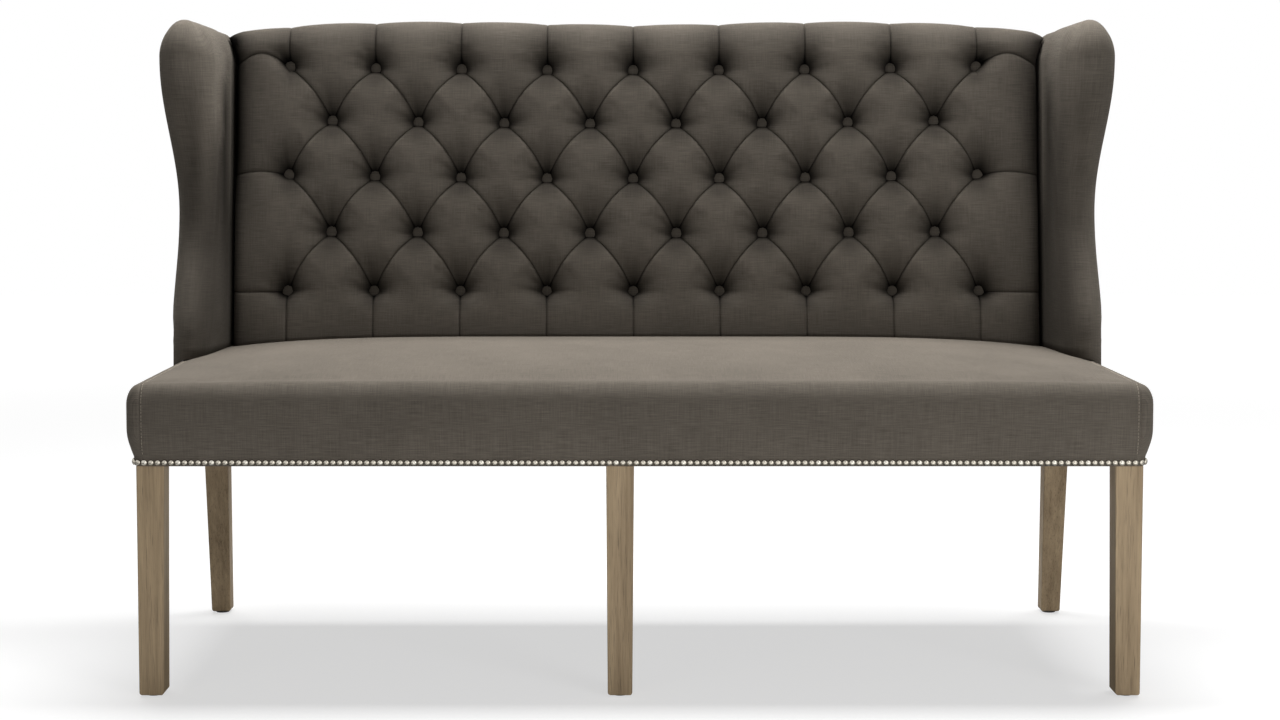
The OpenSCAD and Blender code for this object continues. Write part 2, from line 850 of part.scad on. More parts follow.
twine_d = 2.4;
module back_board() {
    color("peru") difference() {
        back_box(-half_back, half_back, frame_back + rail_t, board_front, board_low, board_high);
        board_screw_set();
        at_buttons() translate([0, 0, -back_foot_t]) cylinder(h = back_foot_t, d = twine_hole_d);
    }
}
board_screw_d = 3;
board_screw_l = 20;
board_screw_head_d = 7;
board_screw_head_h = 1.2;
screw_cols = 4;
module board_screw_set() {
    at_back()
        for (i = [-screw_cols:screw_cols], z = [top_rail_z, middle_rail_z, bottom_rail_z])
            translate([i * (half_back - rail_t) / screw_cols, -board_front, along_back(z)])
                rotate([-90, 0, 0]) {
                    cylinder(h = board_screw_l, d = board_screw_d);
                    cylinder(h = board_screw_head_h, d = board_screw_head_d);
                }
}
module board_screws() {
    color("silver") board_screw_set();
}

// Buttoned back: places of the buttons, and the padded surface between them
half_cols = button_cols - 1;
button_pitch = 2 * (half_back - button_margin) / half_cols;
last_row = button_rows - 1;
function row_last(row) = half_cols - row % 2;
module at_button(row, i) {
    z = row_z(row);
    translate([button_shift + (i - row_last(row) / 2) * button_pitch, y(crest_d(z) + tuft_depth), z])
        rotate([90 - lean_a, 0, 0]) children();
}
module at_buttons() {
    for (row = [0:last_row])
        for (i = [0:row_last(row)])
            at_button(row, i) children();
}
crease_share = 0.68;
crease_power = 0.75;
puff_power = 0.6;
seam_share = 0.35;
pleat_share = 0.2;
left_col = (-half_back + gap - button_shift) / (button_pitch / 2);
right_col = (half_back - gap - button_shift) / (button_pitch / 2);
cols = concat(
    [left_col, (left_col - half_cols) / 2],
    [for (i = [-2 * half_cols:2 * half_cols]) i / 2],
    [(right_col + half_cols) / 2, right_col]
);
rows = [for (i = [2 * last_row:-1:0]) i / 2];
function fold_f(c, r) = abs(sin(90 * (c - r)));
function fold_g(c, r) = abs(sin(90 * (c + r)));
// Depth of the cloth below the crests, at a column, a row and a distance past the last button (0 to 1)
function tuft_sink(c, r, past) =
    let (
        f = fold_f(c, r),
        g = fold_g(c, r),
        near = 1 - (1 - (f + g - f * g)) * (1 - ease(2 * past)),
        puff = pow(f * g, puff_power) * (1 - past) + past * (1 - pleat_share * (1 - f * g))
    )
    tuft_depth * (1 - crease_share * pow(near, crease_power) - (1 - crease_share) * puff);
function side_past(c) = c < -half_cols ? (c + half_cols) / (left_col + half_cols) :
    c > half_cols ? (c - half_cols) / (right_col - half_cols) : 0;
function seam_sink(c) = seam_share * tuft_depth * pow(side_past(c), 3);
function tuft_x(c, r, past) =
    let (in_field = max(-half_cols, min(half_cols, c)))
    button_shift + c * button_pitch / 2
        + fold_bow_x * (fold_g(in_field, r) - fold_f(in_field, r)) * (1 - max(past, side_past(c)));
function tuft_z(c, r, past) =
    let (
        in_field = max(-half_cols, min(half_cols, c)),
        f = fold_f(in_field, r),
        g = fold_g(in_field, r)
    )
    fold_bow_z * (f + g - f * g) * (1 - max(past, side_past(c)));
function tuft_point(c, r, skin) =
    let (
        in_field = max(-half_cols, min(half_cols, c)),
        z = row_z(r),
        sink = tuft_sink(in_field, r, side_past(c)) + seam_sink(c)
    )
    [tuft_x(c, r, 0), y(crest_d(z) + sink + skin), z + tuft_z(c, r, 0)];

// Below the last row the cloth runs down behind the seat; above the first it rolls over the top
function foot_point(c, t, skin) =
    let (
        in_field = max(-half_cols, min(half_cols, c)),
        x = tuft_x(c, last_row, t),
        low = seat_z(x, crest_d(edge_z + seat_crown)) + sit_gap,
        z = mix(row_z(last_row), low, t),
        sink = tuft_sink(in_field, last_row, max(t, side_past(c))) + seam_sink(c)
    )
    [x, y(crest_d(z) + sink + skin), z + tuft_z(c, last_row, t)];
roll_share = [[0, 1], [0.09, 0.48], [0.42, 0.04], [0.8, 0.09], [1, 0.75]];
roll_pleat_share = [1, 0.7, 0.4, 0.2, 0];
roll_skin = [[1, 0], [0.75, 0.65], [0, 1], [-0.5, 0.85], [-1, 0]];
function roll_top(x) = top_z - top_dip * (1 - ease(abs(x) / (half_back / 2)))
    - roll_h / 2 * pow(sat(abs(x) / half_back), 6);
function roll_point(c, k, skin) =
    let (
        in_field = max(-half_cols, min(half_cols, c)),
        x = tuft_x(c, 0, 1),
        z0 = top_z - roll_h,
        front = crest_d(z0),
        rear = rear_d(z0),
        sink = roll_pleat_share[k] * (tuft_sink(in_field, 0, 1) + seam_sink(c)),
        d = mix(front, rear, roll_share[k][0]),
        z = mix(roll_top(x), z0, roll_share[k][1])
    )
    [x, y(d + (sink + skin) * roll_skin[k][0]), z - (sink + skin) * roll_skin[k][1]];
function back_skin(skin) = concat(
    [for (t = [1, 0.5]) [for (c = cols) foot_point(c, t, skin)]],
    [for (r = rows) [for (c = cols) tuft_point(c, r, skin)]],
    [for (k = [0:len(roll_share) - 1]) [for (c = cols) roll_point(c, k, skin)]]
);
// Which way each patch is folded: along the line between its two buttons
back_folds = [
    for (v = [0:len(rows) + len(roll_share)])
        let (r = floor(last_row - (v - 2 + 0.5) / 2))
        [for (u = [0:len(cols) - 2])
            let (c = floor((cols[u] + cols[u + 1]) / 2))
            (abs(c) + abs(r)) % 2 == 0]
];
module back_cover() {
    color(cloth) sheet(back_skin(0), back_skin(cloth_t), back_folds);
}
module back_foam() {
    front = back_skin(cloth_t + gap);
    nu = len(front[0]) - 1;
    nv = len(front) - 1;
    deep = cloth_t + gap;
    loop = concat(
        [for (u = [0:nu]) front[0][u]],
        [for (v = [1:nv]) front[v][nu]],
        [for (u = [nu - 1:-1:0]) front[nv][u]],
        [for (v = [nv - 1:-1:1]) front[v][0]]
    );
    rear_rim = [for (p = loop) let (z = min(p[2], back_frame_top)) [p[0], y(rear_d(z) - deep), z]];
    middle_z = (edge_z + top_z) / 2;
    color(foam) difference() {
        pad(front, rear_rim, [0, y(rear_d(middle_z) - deep), middle_z], back_folds);
        back_box(-half_back - over, half_back + over, -back_foot_t, board_front + gap,
            leg_h, board_high + gap);
        twine_set(twine_d + gap);
    }
}

// Buttons: a cloth-covered shell with a coned back that sits in its well
button_h = 13;
button_shares = [[0, 0], [0.5, 0.64], [0.5, 0.72], [0.42, 0.88], [0.25, 0.97], [0, 1]];
module back_buttons() {
    color(cloth) at_buttons() translate([0, 0, gap]) rotate_extrude()
        polygon([for (p = button_shares) [p[0] * button_d, p[1] * button_h]]);
}
washer_d = 15;
washer_t = 1.6;
// Distance from a button's well back to the rear face of its washer
function twine_reach(row) =
    let (z = row_z(row))
    (rear_d(z) - frame_back - rail_t - crest_d(z) - tuft_depth) * cos(lean_a) + washer_t;
module at_washers(row) {
    for (i = [0:row_last(row)])
        at_button(row, i) translate([0, 0, -twine_reach(row)]) children();
}
module twine_set(d) {
    for (row = [0:last_row])
        at_washers(row) cylinder(h = twine_reach(row) - cloth_t, d = d);
}
module button_twines() {
    color("beige") twine_set(twine_d);
}
module twine_washers() {
    color("silver") difference() {
        for (row = [0:last_row])
            at_washers(row) cylinder(h = washer_t, d = washer_d);
        twine_set(twine_d);
    }
}

// Cloth over the rear of the back, between the wings' rear corners
wing_corner_r = 12;
outside_half = seat_w / 2 + cloth_t - wing_corner_r;
module outside_back() {
    color(cloth) at_back() rotate([90, 0, 0]) linear_extrude(height = cloth_t)
        polygon([
            [-outside_half, cloth_t],
            [outside_half, cloth_t],
            [outside_half, along_back(top_z - wing_dome_h)],
            [half_back, along_back(back_frame_top)],
            [-half_back, along_back(back_frame_top)],
            [-outside_half, along_back(top_z - wing_dome_h)],
        ]);
}

// Wings: sections from above, from the inner rear corner round the front edge to the outer rear
wing_in = half_back + gap;
wing_top = top_z - wing_drop;
wing_shoulder = wing_top - wing_dome_h;
wing_seam = 9;
// Shares of the wing's height where its foot ends, its waist lies and its top reach starts
foot_end_share = 0.08;
waist_share = 0.42;
waist_end_share = 0.48;
reach_top_share = 0.84;
flare_low_share = 0.42;
flare_high_share = 0.9;
function wing_h(z) = (z - edge_z) / back_rise;
function wing_reach(z) =
    let (
        h = wing_h(z),
        low = ease((h - foot_end_share) / (waist_share - foot_end_share)),
        high = ease((h - waist_end_share) / (reach_top_share - waist_end_share))
    )
    mix(wing_foot_reach, wing_waist_reach, low) + (wing_top_reach - wing_waist_reach) * high;
function wing_out(z) = seat_w / 2 + wing_foot_out
    + wing_flare * ease((wing_h(z) - flare_low_share) / (flare_high_share - flare_low_share));
nose_angles = [168, 140, 114, 90, 45, 0];
nose_last = len(nose_angles) - 1;
nose_inner_share = 0.62;
wing_tuck = 3;
side_stations = [0.3, 0.6, 0.9];
wing_joins = [0, 1, 2, 3, 4, 4, 4, 4, 4, 3, 2, 1, 0, 0];
function wing_plan(z, skin) =
    let (
        rear = rear_d(z) - cloth_t - gap - skin,
        inner = wing_in + skin,
        seam = crest_d(z) + wing_seam + skin,
        r = wing_round - skin,
        nose_x = wing_out(z) - wing_round,
        front = rear_d(z) - wing_reach(z),
        across = nose_x - wing_in - wing_tuck,
        deep = nose_inner_share * (crest_d(z) + wing_seam - front),
        nose = [for (a = nose_angles) a > 90
            ? [nose_x + (across - skin) * cos(a), front + deep - (deep - skin) * sin(a)]
            : [nose_x + r * cos(a), front + wing_round - r * sin(a)]],
        back_x = seat_w / 2 + cloth_t - skin,
        turn = wing_corner_r - skin
    )
    concat(
        [[inner, rear], [inner, mix(rear, seam, 0.5)], [inner, seam]],
        nose,
        [for (s = side_stations)
            [mix(nose[nose_last][0], back_x, s), mix(nose[nose_last][1], rear - turn, s)]],
        [[back_x - turn * (1 - cos(45)), rear - turn * (1 - sin(45))]],
        [[back_x - turn, rear]]
    );
ridge_rear_in = 38;
ridge_front_share = 1.5;
function ridge_place(k, skin) =
    let (
        z = wing_shoulder,
        nose_x = wing_out(z) - wing_round,
        nose_d = rear_d(z) - wing_reach(z) + ridge_front_share * wing_round,
        t = k / 4
    )
    [
        mix(wing_in + ridge_rear_in, nose_x, t),
        y(mix(rear_d(z) - ridge_rear_in, nose_d, t)),
        wing_top - skin - wing_fall * (1 - t)
    ];
wing_levels = [0.14, 0.28, 0.42, 0.56, 0.7, 0.85, 1];
dome_angles = [20, 42, 66];
dome_power = 0.5;
function wing_rings(skin) = concat(
    [[for (p = wing_plan(edge_z, skin)) [p[0], y(p[1]), seat_z(p[0], p[1]) + sit_gap]]],
    [for (s = wing_levels)
        let (z = mix(edge_z + seat_edge_r, wing_shoulder, s))
        [for (p = wing_plan(z, skin)) [p[0], y(p[1]), z]]],
    [for (a = dome_angles)
        let (plan = wing_plan(wing_shoulder, skin))
        [for (i = [0:len(plan) - 1])
            let (
                top = ridge_place(wing_joins[i], skin),
                t = 1 - cos(a)
            )
            [mix(plan[i][0], top[0], t), mix(y(plan[i][1]), top[1], t),
             mix(wing_shoulder, top[2], pow(sin(a), dome_power))]]]
);
function wing_ridge(skin) = [for (k = [0:4]) ridge_place(k, skin)];
module wing_space(skin) {
    d = crest_d(edge_z) + wing_seam;
    x = (wing_in + seat_w / 2) / 2;
    bulk(wing_rings(skin), wing_ridge(skin), wing_joins, [x, y(d), seat_z(x, d) + sit_gap]);
}
module back_space(clear) {
    back_box(-rail_out - clear, rail_out + clear, frame_back - clear, frame_back + post_depth + clear,
        leg_h, board_high + clear);
}

// Wing board: flat, cut to the wing's outline, flared and leaning out, held to the post's front
wing_board_flare_angle = 11;
wing_board_lean_angle = 4.9;
wing_board_in = 30;
wing_board_x = half_back + wing_board_t;
wing_board_low = 42;
wing_board_stations = [0, 0.12, 0.24, 0.36, 0.48, 0.6, 0.75, 0.9, 1];
module wing_board(side) {
    low = edge_z + wing_board_low;
    high = wing_shoulder + wing_board_t;
    zs = [for (s = wing_board_stations) mix(low, high, s)];
    fronts = [for (z = zs) -(wing_reach(z) - frame_back - post_depth - wing_board_in)];
    lean_back = [for (z = zs) rear_d(z) - rear_d(low)];
    color("burlywood") difference() {
        on_side(side) intersection() {
            translate([wing_board_x, y(rear_d(low) - frame_back - post_depth), low])
                rotate([0, wing_board_lean_angle, 0]) rotate([0, 0, wing_board_flare_angle])
                    across(-wing_board_t / 2, wing_board_t / 2)
                        polygon(concat(
                            [for (i = [0:len(zs) - 1]) [fronts[i] + lean_back[i], zs[i] - low]],
                            [[lean_back[len(zs) - 1] + wing_board_in, high - low], [wing_board_in, 0]]
                        ));
            back_box(0, seat_w, frame_back + post_depth, all_d, leg_h, top_z);
        }
        screws_at_wing(side);
    }
}
module wing_board_left() wing_board(-1);
module wing_board_right() wing_board(1);
wing_screw_d = 5;
wing_screw_l = 70;
wing_screw_head_d = 10;
wing_screw_share = [0.12, 0.5, 0.86];
module screws_at_wing(side) {
    low = edge_z + wing_board_low;
    high = wing_shoulder + wing_board_t;
    on_side(side) for (s = wing_screw_share) {
        z = mix(low, high, s);
        x = wing_board_x + (z - low) * tan(wing_board_lean_angle) + wing_board_t / 8;
        at_back() translate([x, -frame_back, along_back(z)]) rotate([90, 0, 0]) {
            cylinder(h = wing_screw_l, d = wing_screw_d);
            cylinder(h = screw_head_h, d = wing_screw_head_d);
        }
    }
}
module wing_screws() {
    color("silver") {
        screws_at_wing(-1);
        screws_at_wing(1);
    }
}
module wing_foam(side) {
    color(foam) difference() {
        on_side(side) wing_space(cloth_t + gap);
        back_space(gap);
        wing_board(side);
        screws_at_wing(side);
    }
}
module wing_foam_left() wing_foam(-1);
module wing_foam_right() wing_foam(1);
module wing_cover(side) {
    color(cloth) difference() {
        on_side(side)
            cap(wing_rings(0), wing_ridge(0), wing_rings(cloth_t), wing_ridge(cloth_t), wing_joins);
        back_space(gap);
    }
}
module wing_cover_left() wing_cover(-1);
module wing_cover_right() wing_cover(1);

front_leg_left();
front_leg_right();
front_leg_middle();
rear_leg_left();
rear_leg_right();
leg_glides();
front_rail_left();
front_rail_right();
side_rail_left();
side_rail_right();
rear_rail();
cross_rail();
frame_dowels();
corner_blocks();
block_screws();
webbing_across();
webbing_along();
seat_foam();
seat_cover();
dust_cover();
nail_strip();
decorative_nails();
back_top_rail();
back_middle_rail();
back_bottom_rail();
back_struts();
back_board();
board_screws();
back_foam();
back_cover();
back_buttons();
button_twines();
twine_washers();
outside_back();
wing_board_left();
wing_board_right();
wing_screws();
wing_foam_left();
wing_foam_right();
wing_cover_left();
wing_cover_right();
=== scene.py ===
import math

import bmesh
import bpy
import numpy as np
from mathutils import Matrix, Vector
from mathutils.bvhtree import BVHTree


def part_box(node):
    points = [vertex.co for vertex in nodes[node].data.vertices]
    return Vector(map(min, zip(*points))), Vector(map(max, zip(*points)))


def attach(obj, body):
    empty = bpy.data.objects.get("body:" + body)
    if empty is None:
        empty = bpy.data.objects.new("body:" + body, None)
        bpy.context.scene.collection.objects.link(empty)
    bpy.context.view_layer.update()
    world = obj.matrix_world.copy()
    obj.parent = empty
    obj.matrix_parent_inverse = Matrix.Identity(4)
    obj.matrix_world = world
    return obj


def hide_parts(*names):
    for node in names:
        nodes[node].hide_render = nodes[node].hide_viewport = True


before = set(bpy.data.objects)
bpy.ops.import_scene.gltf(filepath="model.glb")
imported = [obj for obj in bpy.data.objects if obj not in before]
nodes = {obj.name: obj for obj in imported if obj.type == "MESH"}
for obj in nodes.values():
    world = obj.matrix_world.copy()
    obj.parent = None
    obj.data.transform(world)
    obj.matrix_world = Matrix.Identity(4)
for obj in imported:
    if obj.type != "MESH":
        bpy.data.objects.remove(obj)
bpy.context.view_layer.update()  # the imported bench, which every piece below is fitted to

print("frame loaded:", len(nodes), "nodes")

# Sizes of the bench in metres, as in the part's source; depths run back from the seat's front
bench = {
    "seatHalf": 0.796, "seatDepth": 0.615, "seatHeight": 0.128, "legHeight": 0.369, "nailZone": 0.0132,
    "swell": 0.010, "sideSwell": 0.010, "swellRise": 0.045, "sideOut": 0.003, "edgeLift": 0.002,
    "roundIn": 0.021, "roundDown": 0.034, "cornerRound": 0.020, "rearRound": 0.006,
    "crown": 0.030, "crownPower": 5.0, "crownPeak": 0.65, "backRise": 0.603, "backLean": 0.075,
    "wingRoot": 0.067, "footThick": 0.119, "topThick": 0.096, "topDip": 0.006, "cornerDrop": 0.008,
    "leanFrom": 1.026, "leanTall": 0.052, "cornerLean": 0.0165, "leanPower": 1.25,
    "cloth": 0.002, "gap": 0.0003, "sitGap": 0.001,
}
edgeZ = bench["legHeight"] + bench["seatHeight"]
topZ = edgeZ + bench["backRise"]
allDepth = bench["seatDepth"] + bench["backLean"]
backHalf = bench["seatHalf"] - bench["wingRoot"]
rearTilt = math.atan(bench["backLean"] / (topZ - bench["legHeight"]))


def mix(a, b, t):
    return a + (b - a) * t


def ramp(value, start=0.0, length=1.0):  # how far a value lies along a stretch, 0 to 1
    return np.clip((value - start) / length, 0, 1)


def ease(value, start=0.0, length=1.0):  # the same with soft ends
    t = ramp(value, start, length)
    return t * t * (3 - 2 * t)


def hill(value, reach):
    return np.exp(-(value / reach) ** 2)


def nearest(value):  # how far a value lies from the nearest whole number
    return value - np.round(value)


def arc(first, last, count):  # angles in degrees with their cosines and sines
    angles = np.linspace(first, last, count)
    return [(a, math.cos(math.radians(a)), math.sin(math.radians(a))) for a in angles]


def toY(depth):
    return depth - allDepth / 2


def rearDepth(z):  # the leaning plane at the rear of the bench
    return bench["seatDepth"] + bench["backLean"] * (z - bench["legHeight"]) / (topZ - bench["legHeight"])


def innerRear(z):  # just inside the cloth of the rear
    return rearDepth(z) - bench["cloth"] - bench["gap"]


def cornerLean(z):  # the seam between back and wing leans outwards near the top
    return bench["cornerLean"] * ramp(z, bench["leanFrom"], bench["leanTall"]) ** bench["leanPower"]


def crestDepth(z):  # the plane that the back's padding swells out to
    return rearDepth(z) - mix(bench["footThick"], bench["topThick"], (z - edgeZ) / bench["backRise"])


def swellAt(z):  # the seat swells above the nails
    return np.sin(ramp(z - bench["legHeight"], bench["nailZone"], bench["swellRise"]) * math.pi / 2)


def sideHalf(z):
    return bench["seatHalf"] + bench["sideOut"] + bench["sideSwell"] * swellAt(z)


def crownAt(x, depth):  # share of the crown above the seat's edge
    peak, back = bench["crownPeak"], depth / bench["seatDepth"]
    across = np.minimum(1, np.abs(x) / bench["seatHalf"]) ** bench["crownPower"]
    return (1 - across) * (1 - (1 - ramp(back / peak)) ** 3) * (1 - ramp(back, peak, 1 - peak) ** 6)


def seatTop(x, depth):
    past = ramp(np.abs(x) - sideHalf(edgeZ), -bench["roundIn"], bench["roundIn"])
    drop = bench["roundDown"] * (1 - np.sqrt(1 - past * past))
    return edgeZ + bench["edgeLift"] - drop + bench["crown"] * crownAt(x, depth)


# Meshes
def readArray(items, key, width=3, kind=np.float32):
    values = np.empty(len(items) * width, dtype=kind)
    items.foreach_get(key, values)
    return values.reshape(-1, width) if width > 1 else values


def cornerIndex(mesh):  # the point at each corner of each face
    return readArray(mesh.loops, "vertex_index", 1, np.int32)


def setMap(mesh, pairs):  # lays the cloth by one pair for each corner
    layer = mesh.uv_layers.get("cloth") or mesh.uv_layers.new(name="cloth")
    layer.data.foreach_set("uv", np.asarray(pairs, dtype=np.float32).ravel())


def setSmooth(piece, smooth=True):
    piece.data.polygons.foreach_set("use_smooth", [smooth] * len(piece.data.polygons))


def setShade(piece, values):  # painted shade: how far each point lies in the shade of a fold, well or seam, painted into its colour, 0 to 1
    layer = piece.data.attributes.new("paintedShade", "FLOAT", "POINT")
    layer.data.foreach_set("value", np.clip(np.asarray(values, dtype=np.float32), 0, 1))


def addObject(name, data):
    thing = bpy.data.objects.new(name, data)
    bpy.context.scene.collection.objects.link(thing)
    return thing


def meshPiece(name, points, faces, uv=None):  # uv holds one pair for each point
    mesh = bpy.data.meshes.new(name)
    mesh.from_pydata([tuple(p) for p in points], [], faces)
    if uv is not None:
        setMap(mesh, np.asarray(uv)[cornerIndex(mesh)])
    piece = addObject(name, mesh)
    setSmooth(piece)
    mesh.update()
    return piece


def loftRings(rings):  # faces between rings of equal length, each a closed loop
    n = len(rings[0])
    starts = range(0, (len(rings) - 1) * n, n)
    return [(a + i, a + (i + 1) % n, a + n + (i + 1) % n, a + n + i) for a in starts for i in range(n)]


def turnOutward(piece, merge=False):  # splits faces of many corners and turns all outwards
    shell = bmesh.new()
    shell.from_mesh(piece.data)
    if merge:
        bmesh.ops.remove_doubles(shell, verts=shell.verts, dist=1e-6)
    bmesh.ops.triangulate(shell, faces=[f for f in shell.faces if len(f.verts) > 4])
    bmesh.ops.recalc_face_normals(shell, faces=shell.faces)
    shell.to_mesh(piece.data)
    shell.free()
    return piece


def setMaterial(piece, material):
    piece.data.materials.clear()
    piece.data.materials.append(material)


def finishPiece(piece, slot, material, *replaced):
    setMaterial(piece, material)
    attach(piece, "root")
    if replaced:
        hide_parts(*replaced)
    return piece


# Nodes
class Wires:  # short hand for the nodes of one tree
    def __init__(self, tree):
        self.tree = tree

    def feed(self, socket, value):  # a value is a constant or the output of another node
        if isinstance(value, bpy.types.NodeSocket):
            self.tree.links.new(value, socket)
        else:
            socket.default_value = value

    def fill(self, node, inputs):
        for key, value in inputs.items():
            self.feed(node.inputs[key], value)
        return node

    def add(self, kind, inputs={}, **settings):
        node = self.tree.nodes.new(kind)
        for key, value in settings.items():
            setattr(node, key, value)
        return self.fill(node, inputs)

    def math(self, operation, *values, clamp=False):
        node = self.add("ShaderNodeMath", dict(enumerate(values)), operation=operation, use_clamp=clamp)
        return node.outputs[0]

    def total(self, first, *others):
        for other in others:
            first = self.math("ADD", first, other)
        return first

    def times(self, a, b):
        return self.math("MULTIPLY", a, b)

    def swing(self, value, gain):  # turns a share of 0 to 1 into a swing about zero
        return self.times(self.math("SUBTRACT", value, 0.5), gain)

    def noise(self, vector, scale, detail=3.0, roughness=0.55, stretch=(1, 1, 1)):
        place = self.add("ShaderNodeMapping", {"Vector": vector, "Scale": stretch}).outputs[0]
        return self.add("ShaderNodeTexNoise", {
            "Vector": place, "Scale": scale, "Detail": detail, "Roughness": roughness}).outputs["Fac"]

    def stretchRange(self, value, low, high, outLow=0.0, outHigh=1.0):
        return self.add("ShaderNodeMapRange", {
            "Value": value, "From Min": low, "From Max": high, "To Min": outLow, "To Max": outHigh,
        }).outputs["Result"]

    def blend(self, factor, a, b):
        node = self.add("ShaderNodeMix", {"Factor": factor}, data_type="RGBA")
        for socket, value in zip([s for s in node.inputs if s.type == "RGBA"], (a, b)):
            self.feed(socket, value)
        return [s for s in node.outputs if s.type == "RGBA"][0]

    def bump(self, height, depth, strength):
        return self.add("ShaderNodeBump", {
            "Height": height, "Distance": depth, "Strength": strength}).outputs[0]


def newTree(name, kind, inputs, outputs):  # an input has the kind of its socket and often a value
    tree = bpy.data.node_groups.new(name, kind + "NodeTree")
    for label, (socketKind, *value) in inputs.items():
        socket = tree.interface.new_socket(name=label, in_out="INPUT", socket_type="NodeSocket" + socketKind)
        if value:
            socket.default_value = value[0]
    for label, socketKind in outputs.items():
        tree.interface.new_socket(name=label, in_out="OUTPUT", socket_type="NodeSocket" + socketKind)
    return Wires(tree), tree.nodes.new("NodeGroupInput").outputs, tree.nodes.new("NodeGroupOutput")


def freshWires(owner):  # the emptied tree of a material or world
    owner.use_nodes = True
    owner.node_tree.nodes.clear()
    return Wires(owner.node_tree)


# Materials
def linear(colour):  # a colour as read off a screen, 0 to 255
    return tuple(((v / 255 + 0.055) / 1.055) ** 2.4 if v > 10 else v / 3295 for v in colour) + (1.0,)


def makeWeaveGroup():  # plain linen weave with slubs, on a map in metres
    w, given, target = newTree(
        "linenWeave", "Shader", {"Map": ["Vector"], "Thread": ["Float", 0.0011], "Slub": ["Float", 0.5]},
        {"Shade": "Float", "Height": "Float"})
    place = given["Map"]
    parts = w.add("ShaderNodeSeparateXYZ", {0: place}).outputs
    turns = w.math("DIVIDE", math.pi, given["Thread"])
    drift = w.swing(w.noise(place, 60, 2), 5.0)
    across, along = [w.math("SINE", w.total(w.times(parts[k], turns), drift)) for k in (0, 1)]
    knot = w.math("POWER", w.math("ABSOLUTE", w.times(across, along)), 0.6)
    weft = w.noise(place, 1.0, 3, 0.6, (30, 760, 1))
    warp = w.noise(place, 1.0, 3, 0.6, (700, 22, 1))
    streak = w.total(w.times(weft, 0.62), w.times(warp, 0.38))
    slub = w.times(w.swing(streak, 2.6), given["Slub"])
    mottle = w.swing(w.noise(place, 7.0, 3), 0.5)
    shade = w.total(slub, mottle, w.swing(knot, 0.35))
    w.fill(target, {"Shade": w.math("ADD", shade, 0.5, clamp=True),
                    "Height": w.total(w.times(knot, 0.7), w.times(streak, 0.9))})
    return w.tree


def makeGrainGroup():  # straight weathered grain along one axis, on object coordinates
    w, given, target = newTree("woodGrain", "Shader", {"Place": ["Vector"], "Streaks": ["Float", 1.0]},
                               {"Shade": "Float", "Pores": "Float", "Height": "Float"})
    place = given["Place"]
    broad = w.noise(place, 1.0, 4, 0.6, (38, 38, 2.2))
    fine = w.noise(place, 1.0, 5, 0.65, (230, 230, 7))
    pore = w.stretchRange(w.noise(place, 1.0, 2, 0.5, (900, 900, 26)), 0.56, 0.7)
    streak = w.swing(w.total(w.times(broad, 0.55), w.times(fine, 0.45)), 2.4)
    w.fill(target, {"Shade": w.math("ADD", w.times(streak, given["Streaks"]), 0.5, clamp=True), "Pores": pore,
                    "Height": w.math("SUBTRACT", w.times(fine, 0.6), w.times(pore, 0.5))})
    return w.tree


weaveGroup = makeWeaveGroup()
grainGroup = makeGrainGroup()


def newMaterial(name, coordinates="Object"):
    material = bpy.data.materials.new(name)
    w = freshWires(material)
    shader = w.add("ShaderNodeBsdfPrincipled")
    w.add("ShaderNodeOutputMaterial", {"Surface": shader.outputs[0]})
    return material, w, shader, w.add("ShaderNodeTexCoord").outputs[coordinates]


def clothMaterial(name, look):  # the painted shade of the folds darkens the colour towards the deep colour, and gloss and sheen fade with it
    material, w, shader, place = newMaterial(name, "UV" if look["byMap"] else "Object")
    weave = w.add("ShaderNodeGroup", {"Map": place, "Thread": look["thread"], "Slub": look["slub"]},
                  node_tree=weaveGroup).outputs
    # the painted shade of each point, 0 on pieces that carry none
    paintedShade = w.add("ShaderNodeAttribute", attribute_name="paintedShade").outputs["Fac"]
    body = w.blend(weave["Shade"], linear(look["dark"]), linear(look["light"]))
    w.fill(shader, {
        "Base Color": w.blend(paintedShade, body, linear(look["deep"])), "Roughness": look["rough"],
        "Specular IOR Level": w.stretchRange(paintedShade, 0, 1, 0.25, 0),
        "Sheen Weight": w.stretchRange(paintedShade, 0, 1, look["sheen"], 0), "Sheen Roughness": 0.45,
        "Sheen Tint": linear((226, 216, 200)), "Normal": w.bump(weave["Height"], look["relief"], 0.55)})
    return material


def woodMaterial(name, look):
    material, w, shader, place = newMaterial(name)
    turned = w.add("ShaderNodeMapping", {"Vector": place, "Rotation": look["turn"]}).outputs[0]
    grain = w.add("ShaderNodeGroup", {"Place": turned, "Streaks": look["streaks"]},
                  node_tree=grainGroup).outputs
    body = w.blend(grain["Shade"], linear(look["dark"]), linear(look["light"]))
    w.fill(shader, {
        "Base Color": w.blend(w.times(grain["Pores"], 0.55), body, linear(look["pore"])),
        "Roughness": w.stretchRange(grain["Shade"], 0, 1, look["rough"] + 0.1, look["rough"] - 0.08),
        "Normal": w.bump(grain["Height"], 0.0006, 0.5)})
    return material


bareMetal = {"metallic": 1.0, "scale": 240, "detail": 3, "darker": 0.8, "spots": (0.3, 0.7),
             "rougher": (-0.06, 0.1), "relief": 0.0}
mouldedNylon = {"metallic": 0.0, "scale": 160, "detail": 4, "darker": 0.7, "spots": (0.2, 0.8),
                "rougher": (-0.08, 0.08), "relief": 0.0005}


def spottedMaterial(name, colour, rough, look=bareMetal):
    material, w, shader, place = newMaterial(name)
    spots = w.noise(place, look["scale"], look["detail"])
    w.fill(shader, {
        "Base Color": w.blend(spots, tuple(look["darker"] * v for v in colour) + (1,), colour + (1,)),
        "Metallic": look["metallic"],
        "Roughness": w.stretchRange(spots, *look["spots"], *[rough + more for more in look["rougher"]])})
    if look["relief"]:
        w.fill(shader, {"Normal": w.bump(spots, look["relief"], 0.3)})
    return material
